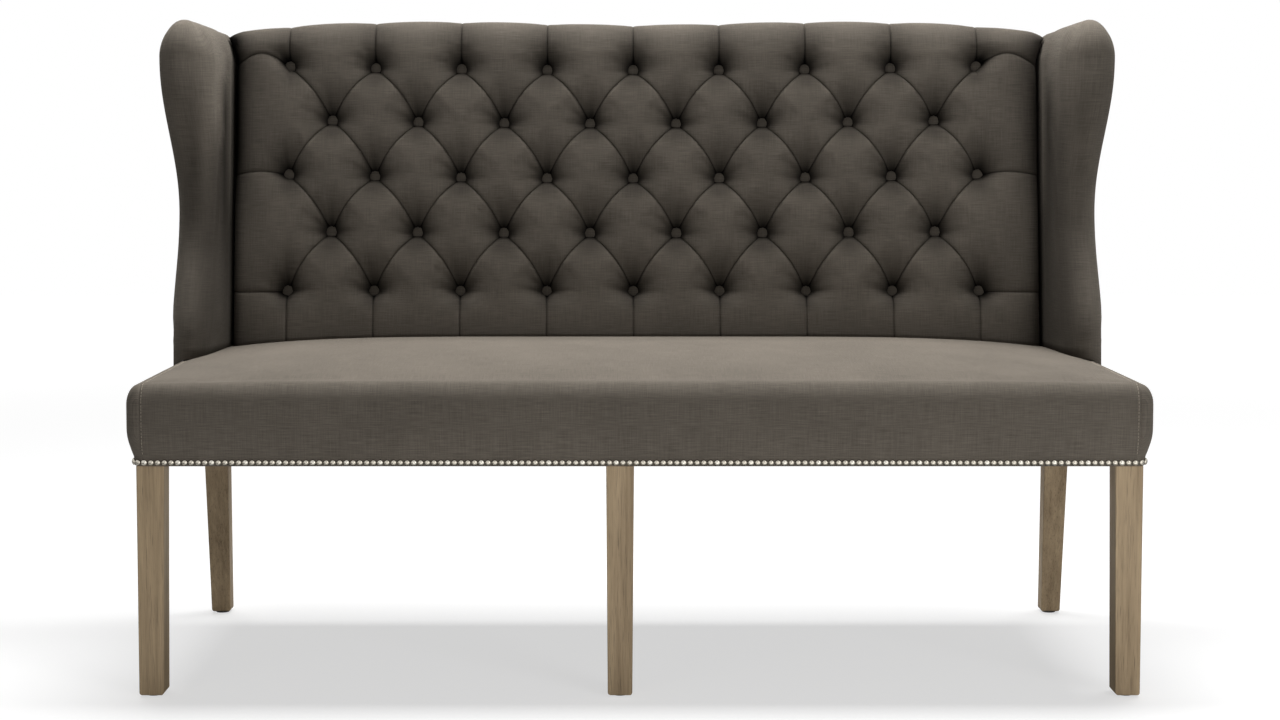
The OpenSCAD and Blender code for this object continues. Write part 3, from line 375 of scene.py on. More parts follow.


# deep is the colour of the painted shade in folds, wells and seams
linen = clothMaterial("taupeLinen", {
    "dark": (70, 65, 58), "light": (116, 108, 98), "deep": (14, 13, 12), "thread": 0.0011, "slub": 0.72,
    "rough": 0.92, "sheen": 0.12, "relief": 0.0005, "byMap": True})
blackCloth = clothMaterial("blackDustCloth", {
    "dark": (18, 18, 18), "light": (40, 39, 38), "deep": (10, 10, 10), "thread": 0.0016, "slub": 0.4,
    "rough": 0.95, "sheen": 0.1, "relief": 0.0004, "byMap": False})
webCloth = clothMaterial("juteWebbing", {
    "dark": (128, 108, 78), "light": (176, 156, 120), "deep": (60, 50, 36), "thread": 0.0024, "slub": 0.6,
    "rough": 0.95, "sheen": 0.1, "relief": 0.0008, "byMap": False})
threadCloth = clothMaterial("paleThread", {
    "dark": (134, 125, 112), "light": (168, 158, 143), "deep": (60, 55, 48), "thread": 0.0006, "slub": 0.3,
    "rough": 0.8, "sheen": 0.1, "relief": 0.0002, "byMap": False})
upright, acrossX, acrossY = (0, 0, 0), (0, math.pi / 2, 0), (math.pi / 2, 0, 0)  # how the grain is turned
showWood = woodMaterial("weatheredOak", {
    "dark": (124, 104, 77), "light": (190, 166, 131), "pore": (78, 66, 50), "rough": 0.58, "streaks": 1.0,
    "turn": upright})
beech = {"dark": (168, 136, 96), "light": (206, 176, 132), "pore": (130, 100, 66), "rough": 0.7,
         "streaks": 0.9}
frameWoodUp = woodMaterial("frameBeechUpright", dict(beech, turn=upright))
frameWoodAcross = woodMaterial("frameBeechAcross", dict(beech, turn=acrossX))
frameWoodDeep = woodMaterial("frameBeechDeep", dict(beech, turn=acrossY))
boardWood = woodMaterial("thinBoard", {
    "dark": (150, 122, 86), "light": (190, 162, 122), "pore": (120, 96, 66), "rough": 0.72, "streaks": 0.7,
    "turn": acrossX})
nickel = spottedMaterial("nickelHeads", (0.50, 0.465, 0.395), 0.13)
# painted shade: the ribbon between the heads is painted near black for the shade between them
ribbon = spottedMaterial("nickelRibbonPaintedShade", (0.10, 0.095, 0.085), 0.35)
brightNickel = spottedMaterial("brightNickel", (0.60, 0.57, 0.50), 0.12)
zinc = spottedMaterial("zincScrews", (0.62, 0.62, 0.60), 0.38)
nylon = spottedMaterial("darkNylon", (0.035, 0.034, 0.033), 0.5, mouldedNylon)
print("materials made")


# Seat
seatPad = {
    "step": 0.009, "corner": 5, "rows": 12, "bend": 11, "seamColumns": (1, 0.999, 0.9975, 0.996, 0.994),
    "start": 0.0008, "cap": 0.003, "pressure": 4.0, "held": 0.014,
    "deck": 0.442, "wallIn": 0.012, "slit": 0.006,
}


def roundOutline(half, front, rear, step, across, along):  # moved in by the step
    half, front, rear = half - step, front + step, rear - step
    radius, rearRadius = [max(bench[key] - step, 0.002) for key in ("cornerRound", "rearRound")]
    turns = [(k + 0.5) / seatPad["corner"] * math.pi / 2 for k in range(seatPad["corner"])]
    cx, cf, rx, cr = half - radius, front + radius, half - rearRadius, rear - rearRadius
    side = [(cx + radius * math.sin(a), cf - radius * math.cos(a)) for a in turns]
    side += [(half, mix(cf, cr, s)) for s in along]
    side += [(rx + rearRadius * math.cos(a), cr + rearRadius * math.sin(a)) for a in turns]
    front, rear = [(s * cx, front) for s in across], [(-s * rx, rear) for s in across]
    return np.array(front + side + rear + [(-x, depth) for x, depth in side[::-1]])


def makeSeatPad():
    look, low, high = seatPad, bench["legHeight"], edgeZ + bench["edgeLift"]
    start, wall, near = look["start"], look["wallIn"], look["seamColumns"]
    wide, deep = [int(length / look["step"]) for length in (2 * bench["seatHalf"], bench["seatDepth"])]
    across = [-s for s in near] + list(np.linspace(-0.989, 0.989, wide)) + list(near[::-1])
    along = [k / (deep - 1) for k in range(deep)]

    def ring(z, step, height=None):
        front = bench["swell"] * (1 - swellAt(z))
        flat = roundOutline(float(sideHalf(z)), float(front), float(innerRear(z)), step, across, along)
        up = np.full(len(flat), z) if height is None else height(flat[:, 0], flat[:, 1])
        return np.column_stack([flat[:, 0], toY(flat[:, 1]), up])

    rings = [ring(look["deck"], wall + 0.0005), ring(low + 0.002, wall), ring(low, wall - 0.002)]
    rings += [ring(low, 0.002), ring(low + 0.0015, 0.0004)]
    for z in np.linspace(low + 0.006, high - bench["roundDown"] - 0.004, look["rows"]):
        rings.append(ring(z, start * float(ease(z, low + bench["nailZone"], 0.02))))
    for a in np.linspace(0, math.pi / 2, look["bend"]):
        z, share = high - bench["roundDown"] * (1 - math.sin(a)), bench["crown"] * math.sin(a) ** 4
        rings.append(ring(z, bench["roundIn"] * (1 - math.cos(a)) + start,
                          lambda x, depth: z - start * math.sin(a) + share * crownAt(x, depth)))
    for step in [*np.linspace(0.03, 0.1, 8), *np.linspace(0.112, bench["seatDepth"] / 2 - look["slit"], 20)]:
        rings.append(ring(edgeZ, step, lambda x, depth: seatTop(x, depth) - start))
    n, w = len(rings[0]), len(across)

    def closed(base):  # the slit that is left inside a ring, from side to side
        strip = [(i, i + 1, n // 2 + w - 2 - i, n // 2 + w - 1 - i) for i in range(w - 1)]
        ends = [tuple(range(w - 1, n // 2 + 1)), (*range(n // 2 + w - 1, n), 0)]
        return [tuple(base + i for i in face) for face in strip + ends]

    faces = loftRings(rings) + closed((len(rings) - 1) * n) + [face[::-1] for face in closed(0)]
    return turnOutward(meshPiece("seatPad", np.concatenate(rings), faces))


clothForces = {
    "quality": 4, "mass": 0.3, "tension_stiffness": 15, "compression_stiffness": 15, "shear_stiffness": 5,
    "bending_stiffness": 0.5, "use_pressure": True, "vertex_group_mass": "held",
}
clothFrames = 20


def swellCloth(piece, held, look):  # the cloth is blown up a little, then held to the cap
    points = piece.data.vertices
    before, normals = readArray(points, "co"), readArray(points, "normal")
    piece.vertex_groups.new(name="held").add([int(i) for i in held], 1.0, "REPLACE")
    cloth = piece.modifiers.new("cloth", "CLOTH")
    for key, value in clothForces.items():
        setattr(cloth.settings, key, value)
    cloth.settings.uniform_pressure_force = look["pressure"]
    cloth.settings.effector_weights.gravity = 0
    cloth.collision_settings.use_collision = False
    cloth.point_cache.frame_start, cloth.point_cache.frame_end = 1, clothFrames
    for step in range(1, clothFrames + 1):
        bpy.context.scene.frame_set(step)
    baked = piece.evaluated_get(bpy.context.evaluated_depsgraph_get()).data
    move = readArray(baked.vertices, "co") - before
    piece.modifiers.remove(cloth)
    bpy.context.scene.frame_set(1)
    piece.vertex_groups.clear()
    out = (move * normals).sum(axis=1)
    move += normals * (np.maximum(out, 0) - out)[:, None]  # the padding doesn't give way
    length = np.linalg.norm(move, axis=1)
    print("  cloth moved up to", round(float(length.max()) * 1000, 1), "mm, mean",
          round(float(length.mean()) * 1000, 2))
    move *= np.minimum(1, look["cap"] / np.maximum(length, 1e-9))[:, None]
    points.foreach_set("co", (before + move).ravel())
    piece.data.update()


def mapByFacing(mesh, isSide):  # lays the weave along the front and the top, and along the sides
    spots = readArray(mesh.vertices, "co")[cornerIndex(mesh)]
    sizes = readArray(mesh.polygons, "loop_total", 1, np.int32)
    side = np.repeat(isSide(readArray(mesh.polygons, "center")), sizes)
    flat = np.column_stack([spots[:, 0], spots[:, 2] + spots[:, 1]])
    setMap(mesh, np.where(side[:, None], np.column_stack([spots[:, 1] + 3.0, spots[:, 2]]), flat))


# Where the front's cloth meets the sides' cloth
seatSeam = {"place": 0.785, "deep": 0.0013, "wide": 0.0012, "inward": 0.0008, "reach": 0.006}


def sinkSeatSeams(mesh):
    low, high = bench["legHeight"] + 0.004, edgeZ + 0.02
    for v in mesh.vertices:
        aside = abs(v.co.x) - seatSeam["place"] + seatSeam["inward"]
        if abs(aside) < seatSeam["reach"] and low < v.co.z < high:
            v.co -= v.normal * seatSeam["deep"] * math.exp(-(aside / seatSeam["wide"]) ** 2)
    mesh.update()


def makeSeat():
    piece = makeSeatPad()
    z = readArray(piece.data.vertices, "co")[:, 2]
    inner = (z < bench["legHeight"] + seatPad["held"]) | (np.abs(z - seatPad["deck"]) < 1e-4)
    swellCloth(piece, np.nonzero(inner)[0], seatPad)
    sinkSeatSeams(piece.data)
    mapByFacing(piece.data, lambda centres: np.abs(centres[:, 0]) > seatSeam["place"])
    finishPiece(piece, "cloth", linen, "seat_cover", "seat_foam")
    return piece


seat = makeSeat()
print("seat made:", len(seat.data.polygons), "faces")


# Buttoned back
tuftedBack = {
    "columns": 9, "rows": 5, "margin": 0.1034, "rowPitch": 0.1025, "topRow": 0.079, "shift": -0.006,
    "rowHeights": (1.0142, 0.918, 0.8185, 0.7162, 0.6085), "rowSags": (0.0064, 0.007, 0.0073, 0.0036, 0.0008),
    "depth": 0.04, "crease": 0.0062, "bowSide": 0.0078, "bowUp": 0.0072, "puffPower": 0.36,
    "wellSide": 0.018, "wellUp": 0.022, "wellDown": 0.0115, "wellPower": 1.05, "tucks": 0.001,
    "fold": 0.0028, "foldWide": 0.0015, "lip": 0.0022, "lipWide": 0.0016, "fieldEnd": 0.026,
    "pleatShare": 0.45, "pleatWide": 0.012, "pleatPower": 0.8, "pleatFold": 0.0013,
    "sideArch": (0.027, 0.008, 0.001), "seamSlope": 0.005, "seamRound": 0.018, "seamFrom": 0.82,
    "rollFrom": 1.038, "rollFront": 0.033, "rollLength": 0.15, "rollRear": 0.001, "diamondSteps": 16,
}
lastColumn = tuftedBack["columns"] - 1
lastRow = tuftedBack["rows"] - 1
buttonPitch = 2 * (backHalf - tuftedBack["margin"]) / lastColumn
rollDrop = tuftedBack["topRow"] / 2
rollFoot = topZ - rollDrop  # where the front passes into the roll
# painted shade on the back: how much it is darkened overall, in the wells, folds, under the buttons, across
# the middle, at the top, near the seat and along the seams, more on the left
backShade = {
    "base": 0.03, "well": 0.97, "wellSide": 0.026, "groove": 0.35, "under": 0.42, "middle": 0.11, "top": 0.24,
    "seat": 0.42, "seatReach": 0.035, "seamLeft": 0.4, "seamRight": 0.15, "seamReach": 0.006,
    "besideLow": 0.2, "besideHigh": 0.6, "besideReach": 0.042, "moreLeft": 0.3, "moreReach": 0.022,
}


def rowHeight(row, c=lastColumn):  # the rows sag a little towards the middle
    rows = range(tuftedBack["rows"])
    sag = np.interp(row, rows, tuftedBack["rowSags"])
    return np.interp(row, rows, tuftedBack["rowHeights"]) - sag * (1 - (c / lastColumn) ** 2)


def rollTop(x):
    t = np.abs(x) / backHalf
    corner = bench["cornerDrop"] * ramp(np.abs(x) - backHalf, -0.012, 0.027) ** 2
    return topZ - bench["topDip"] * (1 - ease(2 * t)) - rollDrop / 2 * ramp(t) ** 6 - corner


# painted shade of the back, 0 to 1, darkest in the wells and along the seams, with more on the left side
def shadeBack(x, z, low, aside, above, groove, roll, fromSeam):
    look = backShade
    tall = mix(0.013, 0.030, ease(above, -0.01, 0.02))
    around = np.sqrt((aside / look["wellSide"]) ** 2 + ((above - 0.004) / tall) ** 2)
    under = hill(above + 0.024, 0.017) * hill(aside, look["wellSide"])
    shade = look["well"] * np.exp(-around ** 1.3) + look["groove"] * groove + look["under"] * under
    shade = shade + look["base"] + look["middle"] * ease(z, 0.55, 0.15) * (1 - ease(z, 1.0, 0.05))
    seam = np.where(x < 0, look["seamLeft"], look["seamRight"]) * np.exp(-fromSeam / look["seamReach"])
    beside = mix(look["besideLow"], look["besideHigh"], ease(z, 0.68, 0.2))
    seam = seam + beside * hill(fromSeam, look["besideReach"])
    seam = seam + look["moreLeft"] * ease(z, 0.72, 0.15) * hill(fromSeam, look["moreReach"]) * (x < 0)
    shade = 1 - (1 - ramp(shade)) * (1 - ramp(seam))
    nearSeat = look["seat"] * np.exp(-np.maximum(z - low, 0) / look["seatReach"]) * (roll <= 0)
    return shade * (1 - roll) + nearSeat + look["top"] * ease(z, 1.045, 0.02) * (1 - ease(roll, 0.3, 0.5))


def backSurface(c, r):  # c counts half pitches from the middle, r rows down; past the field both go on by 1
    look, half, pitch = tuftedBack, buttonPitch / 2, tuftedBack["rowPitch"]
    inC, inR = np.clip(c, -lastColumn, lastColumn), np.clip(r, 0, lastRow)
    side, top = ramp(np.abs(c), lastColumn), ramp(-r)
    foot, roll = ramp(r, lastRow), ramp(-r, 1)
    wide, tall = backHalf - lastColumn * half, rowHeight(lastRow) - edgeZ
    pastRows, pastSide = top * rollDrop + foot * tall, np.sign(c) * side * wide
    out = ease(np.maximum(side * wide, pastRows) / look["fieldEnd"])
    # distances to the two families of folds, to the pleats and to the nearest button
    p, q = (inC - inR) / 2, (inC + inR) / 2
    fromP, fromQ = nearest(p), nearest(q)
    width = 2 * half * pitch / math.hypot(half, pitch)
    foldP, foldQ = np.abs(fromP) * width, np.abs(fromQ) * width
    level = np.abs(nearest(inR / 2)) * 2 * pitch + pastRows
    plumb = np.abs(nearest(inC / 2)) * buttonPitch + side * wide
    pleat = np.minimum(np.where(side > 0, level, 1), np.where(pastRows > 0, plumb, 1))
    aside = np.where(pastRows > 0, nearest(inC / 2) * buttonPitch, (fromP + fromQ) * half) + pastSide
    above = np.where(side > 0, -nearest(inR / 2) * 2 * pitch, (fromP - fromQ) * pitch)
    above = above + top * rollDrop - foot * tall
    # how deep a point lies: wells with small tucks, puffs, folds and the lips over them
    tallWell = mix(look["wellDown"], look["wellUp"], ease(above, -0.01, 0.02))
    reach = np.sqrt((aside / look["wellSide"]) ** 2 + (above / tallWell) ** 2)
    turn, which = np.arctan2(above, aside), np.round(p) * 1.7 + np.round(q) * 2.9
    tucks = look["tucks"] * np.sin(9 * turn + 5 * np.sin(which) + 1.5 * np.cos(2 * turn))
    tucks = tucks * reach ** 1.5 * np.exp(1.5 - 1.5 * reach)
    tucks = tucks * ease(above / 0.016 + 0.6) * (1 - 0.6 * ramp(3 * top))
    f, g = [np.abs(np.sin(math.pi / 2 * v)) for v in (inC - inR, inC + inR)]
    pleated = 1 - look["pleatShare"] * np.exp(-(pleat / look["pleatWide"]) ** look["pleatPower"])
    puff = mix((f * g) ** look["puffPower"], pleated, out)
    groove = np.minimum(np.exp(-foldP / look["foldWide"]) + np.exp(-foldQ / look["foldWide"]), 1)
    groove = mix(groove, np.exp(-pleat / look["pleatFold"]), out)
    well = np.exp(-reach ** look["wellPower"])
    sink = (look["depth"] - look["crease"]) * well + look["crease"] * (1 - puff)
    sink = sink + tucks + look["fold"] * groove * (1 - 0.15 * out)
    bend = ramp(side, look["seamFrom"], 1 - look["seamFrom"])
    seam = look["seamSlope"] * side ** 2 + look["seamRound"] * (1 - np.sqrt(1 - bend ** 2))
    sink = sink + seam * (1 - 0.75 * ease(top * 0.6 + roll))
    overs = [np.where(past, fold, 0) / look["lipWide"]
             for past, fold in ((fromP >= 0, foldP), (fromQ <= 0, foldQ))]
    lip = look["lip"] * sum(over * np.exp(1 - over) for over in overs) * (1 - out)
    # where it lies across and up
    leanZ = np.where(roll > 0, rollFoot + 0.045 * np.minimum(roll, 0.4), mix(rowHeight(0), rollFoot, top))
    edge = backHalf + cornerLean(leanZ)
    bowed = look["shift"] + inC * half + look["bowSide"] * (g - f) * (1 - out)
    x = mix(bowed, np.sign(c) * (edge - bench["gap"]), side)
    arch = np.interp(inR / 2, [0, 1, 2], look["sideArch"]) * np.sin(math.pi * side) * (1 - top) * (1 - foot)
    low = seatTop(x, crestDepth(edgeZ + bench["crown"])) + bench["sitGap"]
    z = mix(mix(rowHeight(inR, inC), low, foot), rollFoot, top)
    z = z + look["bowUp"] * (f + g - f * g) * (1 - out) + arch - lip
    # the front leans back ever more towards the top, and the roll goes on from there
    base, ahead, high = look["rollFrom"], look["rollFront"], rollTop(x)
    climbed = np.clip((z - base) / (high - base), 0, 0.95)
    depth = crestDepth(z) + ahead * (1 - np.sqrt(1 - climbed ** 2)) * (top > 0) + sink
    begin = np.arcsin((rollFoot - base) / (high - base))
    climb, fall = mix(begin, math.pi / 2, ramp(2 * roll)), ramp(2 * roll, 1) * math.pi / 2
    rolledZ = np.where(roll < 0.5, base + (high - base) * np.sin(climb),
                       high - (high - rollFoot + look["rollRear"]) * (1 - np.cos(fall)))
    behind = rearDepth(rollFoot) - crestDepth(topZ) - ahead
    rolledDepth = np.where(roll < 0.5, crestDepth(rolledZ) + ahead * (1 - np.cos(climb)),
                           crestDepth(topZ) + ahead + behind * np.sin(fall))
    angle = np.where(roll < 0.5, climb - begin * (1 - 2 * roll), math.pi / 2 + fall)
    fade = ramp(1 - roll * 1.15)
    depth = np.where(roll > 0, rolledDepth + sink * np.cos(angle) * fade, depth)
    z = np.where(roll > 0, rolledZ - sink * np.sin(angle) * fade, z)
    length = np.where(roll > 0, rollFoot + roll * look["rollLength"], z)
    shade = shadeBack(x, z, low, aside, above, groove, roll, edge - np.abs(x))
    return np.column_stack([x, toY(depth), z]), np.column_stack([x, length]), shade


def creaseSteps(count):  # finer towards both ends of a diamond's side
    half = [0.5 * (k / count) ** 1.7 for k in range(count + 1)]
    return np.array(half + [1 - v for v in half[-2::-1]])


def makeBackShell():
    steps = creaseSteps(tuftedBack["diamondSteps"])
    keys, points, faces = {}, [], []

    def corner(c, r):
        key = (round(c * 1e5), round(r * 1e5))
        if key not in keys:
            keys[key] = len(points)
            points.append((c, r))
        return keys[key]

    def fill(cs, rs):
        for a, b in zip(cs[:-1], cs[1:]):
            for s, t in zip(rs[:-1], rs[1:]):
                faces.append([corner(a, s), corner(b, s), corner(b, t), corner(a, t)])

    for i, j in [(i, j) for i in range(-lastColumn, lastColumn) for j in range(-lastColumn, lastColumn)]:
        if abs(i + j + 1) > lastColumn or not 0 <= j - i <= lastRow:
            continue
        for a, b in np.ndindex(len(steps) - 1, len(steps) - 1):
            loop = [(steps[u], steps[v]) for u, v in ((a, b), (a + 1, b), (a + 1, b + 1), (a, b + 1))]
            spots = [(i + u + j + v, j + v - i - u) for u, v in loop]
            spots = [s for s in spots if abs(s[0]) < lastColumn + 1e-6 and -1e-6 < s[1] < lastRow + 1e-6]
            if len(spots) > 2:
                faces.append([corner(*s) for s in spots])

    half = lastColumn // 2
    cols = sorted({round(2 * (k + s), 9) for k in range(-half, half) for s in steps})
    rows = sorted({round(2 * (k + s), 9) for k in range(lastRow // 2) for s in steps})
    ends = [0, 0.008, 0.017, 0.028, 0.045, 0.075, 0.12] + [1 - 0.8 * (1 - k / 11) ** 1.6 for k in range(12)]
    right = [lastColumn + s for s in ends]
    left = [-v for v in right[::-1]]
    up = [-2 + k / 22 for k in range(22)] + [-1 + k / 8 for k in range(9)]
    down = [lastRow + s for s in [0, 0.01, 0.022, 0.04, 0.065] + [k / 12 for k in range(1, 13)]]
    for run, spans in ((cols, (up, down)), (left, (up, rows, down)), (right, (up, rows, down))):
        for span in spans:
            fill(run, span)
    where, uv, shade = backSurface(*np.array(points).T)
    # the rim goes back from the outline to the rear plane, which is closed round a middle point
    wideRun, tallRun = left + cols[1:-1] + right, up + rows[1:-1] + down
    around = [corner(c, down[-1]) for c in wideRun] + [corner(right[-1], r) for r in tallRun[-2::-1]]
    around += [corner(c, up[0]) for c in wideRun[-2::-1]] + [corner(left[0], r) for r in tallRun[1:-1]]
    rimZ = np.minimum(where[around, 2], rollFoot - bench["cloth"])
    rim = np.column_stack([where[around, 0], toY(innerRear(rimZ)), rimZ])
    middle = (edgeZ + topZ) / 2
    centre, base, m = (0, toY(innerRear(middle)), middle), len(where), len(rim)
    for k in range(m):
        l = (k + 1) % m
        faces += [[around[k], around[l], base + l, base + k], [base + k, base + l, base + m]]
    piece = meshPiece("buttonedBack", np.concatenate([where, rim, [centre]]), faces,
                      np.concatenate([uv, rim[:, [0, 2]], [(0, middle)]]))
    # painted shade: the field as computed, and the rim and the rear painted darker at 0.3
    setShade(piece, list(shade) + [0.3] * (m + 1))
    return turnOutward(piece)


back = finishPiece(makeBackShell(), "cloth", linen, "back_cover", "back_foam")
print("buttoned back made:", len(back.data.polygons), "faces")


# Scattered shapes
def pointCloud(name, places, normals, sizes):
    mesh = bpy.data.meshes.new(name)
    mesh.from_pydata([tuple(p) for p in places], [], [])
    for label, kind, key, values in (("facing", "FLOAT_VECTOR", "vector", normals),
                                     ("size", "FLOAT", "value", sizes)):
        layer = mesh.attributes.new(label, kind, "POINT")
        layer.data.foreach_set(key, np.asarray(values, dtype=np.float32).ravel())
    return addObject(name, mesh)


def latheMesh(name, profile, around):  # a turned shape about +Z from (radius, height) pairs
    turns = [2 * math.pi * k / around for k in range(around)]
    rings = [[(radius * math.cos(a), radius * math.sin(a), height) for a in turns]
             for radius, height in profile[1:-1]]
    points, faces = [p for ring in rings for p in ring], loftRings(rings)
    low, high, last = len(points), len(points) + 1, (len(rings) - 1) * around
    faces += [(low, (k + 1) % around, k) for k in range(around)]
    faces += [(high, last + k, last + (k + 1) % around) for k in range(around)]
    return meshPiece(name, points + [(0, 0, profile[0][1]), (0, 0, profile[-1][1])], faces)


def scatter(name, shape, places, normals, material, spread, seed, sizes=None):  # a plain mesh at the origin
    w, given, target = newTree(name + "Tree", "Geometry", {
        "Geometry": ["Geometry"], "Size": ["Float", 1.0], "Spread": ["Float", 0.0], "Seed": ["Int", 3],
    }, {"Geometry": "Geometry"})
    info = w.add("GeometryNodeObjectInfo", {"Object": shape})
    facing, size = [
        w.add("GeometryNodeInputNamedAttribute", {"Name": label}, data_type=kind).outputs["Attribute"]
        for label, kind in (("facing", "FLOAT_VECTOR"), ("size", "FLOAT"))]
    align = w.add("FunctionNodeAlignRotationToVector", {"Vector": facing}, axis="Z")
    chance = w.add("FunctionNodeRandomValue", {"Seed": given["Seed"]}, data_type="FLOAT")
    ends = [s for s in chance.inputs if s.type == "VALUE" and s.enabled]
    for socket, operation in zip(ends, ("SUBTRACT", "ADD")):
        w.feed(socket, w.math(operation, 1.0, given["Spread"]))
    drawn = [s for s in chance.outputs if s.type == "VALUE" and s.enabled][0]
    copies = w.add("GeometryNodeInstanceOnPoints", {
        "Points": given["Geometry"], "Instance": info.outputs["Geometry"], "Rotation": align.outputs[0],
        "Scale": w.times(w.times(size, given["Size"]), drawn)})
    real = w.add("GeometryNodeRealizeInstances", {0: copies.outputs[0]})
    paint = w.add("GeometryNodeSetMaterial", {"Geometry": real.outputs[0], "Material": material})
    w.fill(target, {0: paint.outputs[0]})
    base = pointCloud(name + "Points", places, normals, sizes or [1.0] * len(places))
    modifier = base.modifiers.new(name, "NODES")
    modifier.node_group = w.tree
    values = {"Spread": spread, "Seed": seed}
    for item in w.tree.interface.items_tree:
        if item.in_out == "INPUT" and item.name in values:
            modifier[item.identifier] = values[item.name]
    bpy.context.view_layer.update()
    mesh = bpy.data.meshes.new_from_object(base.evaluated_get(bpy.context.evaluated_depsgraph_get()))
    mesh.name = name
    piece = addObject(name, mesh)
    for done in (base, shape):
        bpy.data.objects.remove(done)
    setMaterial(piece, material)
    setSmooth(piece)
    return piece


# Buttons
# shade is the painted shade of the buttons, which sit in the shade of the wells
coveredButton = {
    "across": 0.0215, "height": 0.0115, "lift": 0.0052, "shade": 0.3, "around": 28, "spread": 0.03, "seed": 4,
    "profile": ((0, 0), (0.5, 0.20), (0.93, 0.42), (0.99, 0.5), (1.0, 0.58), (0.97, 0.67), (0.88, 0.78),
                (0.72, 0.88), (0.5, 0.95), (0.25, 0.99), (0, 1)),
}


def makeButtons():
    look = coveredButton
    profile = [(look["across"] / 2 * a, look["height"] * b) for a, b in look["profile"]]
    normal = Vector((0, -math.cos(rearTilt), math.sin(rearTilt)))
    places = []
    for row in range(tuftedBack["rows"]):
        count = tuftedBack["columns"] - row % 2
        for c in range(1 - count, count, 2):
            x, z = tuftedBack["shift"] + c * buttonPitch / 2, float(rowHeight(row, c))
            places.append(Vector((x, toY(crestDepth(z) + tuftedBack["depth"]), z)) + normal * look["lift"])
    piece = scatter("coveredButtons", latheMesh("buttonShape", profile, look["around"]), places,
                    [normal] * len(places), linen, look["spread"], look["seed"])
    setMap(piece.data, readArray(piece.data.vertices, "co")[cornerIndex(piece.data)][:, [0, 2]])
    # painted shade: the buttons are painted darker, as they sit in the wells' shade
    setShade(piece, [look["shade"]] * len(piece.data.vertices))
    return finishPiece(piece, "cloth", linen, "back_buttons")


print("buttons made:", len(makeButtons().data.polygons), "faces")


# Wings
wing = {
    "footReach": 0.262, "waistReach": 0.205, "topReach": 0.244, "round": 0.034, "footOut": 0.018,
    "flare": 0.029, "dome": 0.066, "domePower": 0.5, "nosePower": 1.1, "rearPower": 0.3, "drop": 0.001,
    "fall": 0.015, "seam": 0.009, "tuck": 0.012, "inner": 0.4, "innerFrom": 168, "corner": 0.012,
    "overlap": 0.016, "ridgeIn": 0.038, "ridgeFront": 1.5, "ridgeNose": 0.009, "leanReach": 0.06,
    "rings": 52, "domeRings": 16, "start": 0.004, "cap": 0.004, "pressure": 4.0,
    "heldFoot": 0.03, "heldSeam": 0.006,
}
wingTop = topZ - wing["drop"]
wingShoulder = wingTop - wing["dome"]
wingIn = backHalf + bench["gap"]


def wingReach(z):
    h = (z - edgeZ) / bench["backRise"]
    low, high = float(ease(h, 0.08, 0.34)), float(ease(h, 0.48, 0.36))
    return mix(wing["footReach"], wing["waistReach"], low) + (wing["topReach"] - wing["waistReach"]) * high


def wingOut(z):
    h = (z - edgeZ) / bench["backRise"]
    return bench["seatHalf"] + wing["footOut"] + wing["flare"] * float(ease(h, 0.42, 0.48))


def wingPlan(z, skin):  # (x, depth, place along the ridge) for points round one section
    full, start = wing["round"], wing["innerFrom"]
    r, noseX, front = full - skin, wingOut(z) - full, rearDepth(z) - wingReach(z)
    inner, seam, rear = wingIn + skin, crestDepth(z) + wing["seam"], innerRear(z) - skin
    across, deep = noseX - wingIn - wing["tuck"], wing["inner"] * (seam - front)
    backX, turn, seam = bench["seatHalf"] + bench["cloth"] - skin, wing["corner"] - skin, seam + skin
    hollow = [(noseX + (across - skin) * c, front + deep - (deep - skin) * s, min(4, 3 + (start - a) / 28))
              for a, c, s in arc(start, 91, 22)]
    first = hollow[0]
    plan = [(inner, mix(rear, seam, t), 2 * t) for t in np.linspace(0, 1, 9)]
    plan += [(mix(inner, first[0], t), mix(seam, first[1], t), 2 + t) for t in np.linspace(0.12, 0.9, 8)]
    plan += hollow + [(noseX + r * c, front + full - r * s, 4) for _, c, s in arc(90, 0, 12)]
    plan += [(mix(noseX + r, backX, t), mix(front + full, rear - turn, t), 4 * (1 - t))
             for t in np.linspace(0.04, 1, 26)]
    plan += [(backX - turn * (1 - c), rear - turn * (1 - s), 0) for _, c, s in arc(15, 90, 6)]
    return plan + [(mix(backX - turn, inner, t), rear, 0) for t in np.linspace(0.12, 0.88, 7)]


def ridgePlace(k, skin):
    z, t = wingShoulder, k / 4
    noseX = wingOut(z) - wing["round"] - wing["ridgeNose"]
    noseDepth = rearDepth(z) - wingReach(z) + wing["ridgeFront"] * wing["round"]
    return (mix(wingIn + wing["ridgeIn"], noseX, t), mix(rearDepth(z) - wing["ridgeIn"], noseDepth, t),
            wingTop - skin - wing["fall"] * (1 - t))


def seatedAt(x, depth):  # the foot rests on the seat and overlaps its rounded edge
    return max(float(seatTop(x, depth)), edgeZ - wing["overlap"]) + bench["sitGap"]


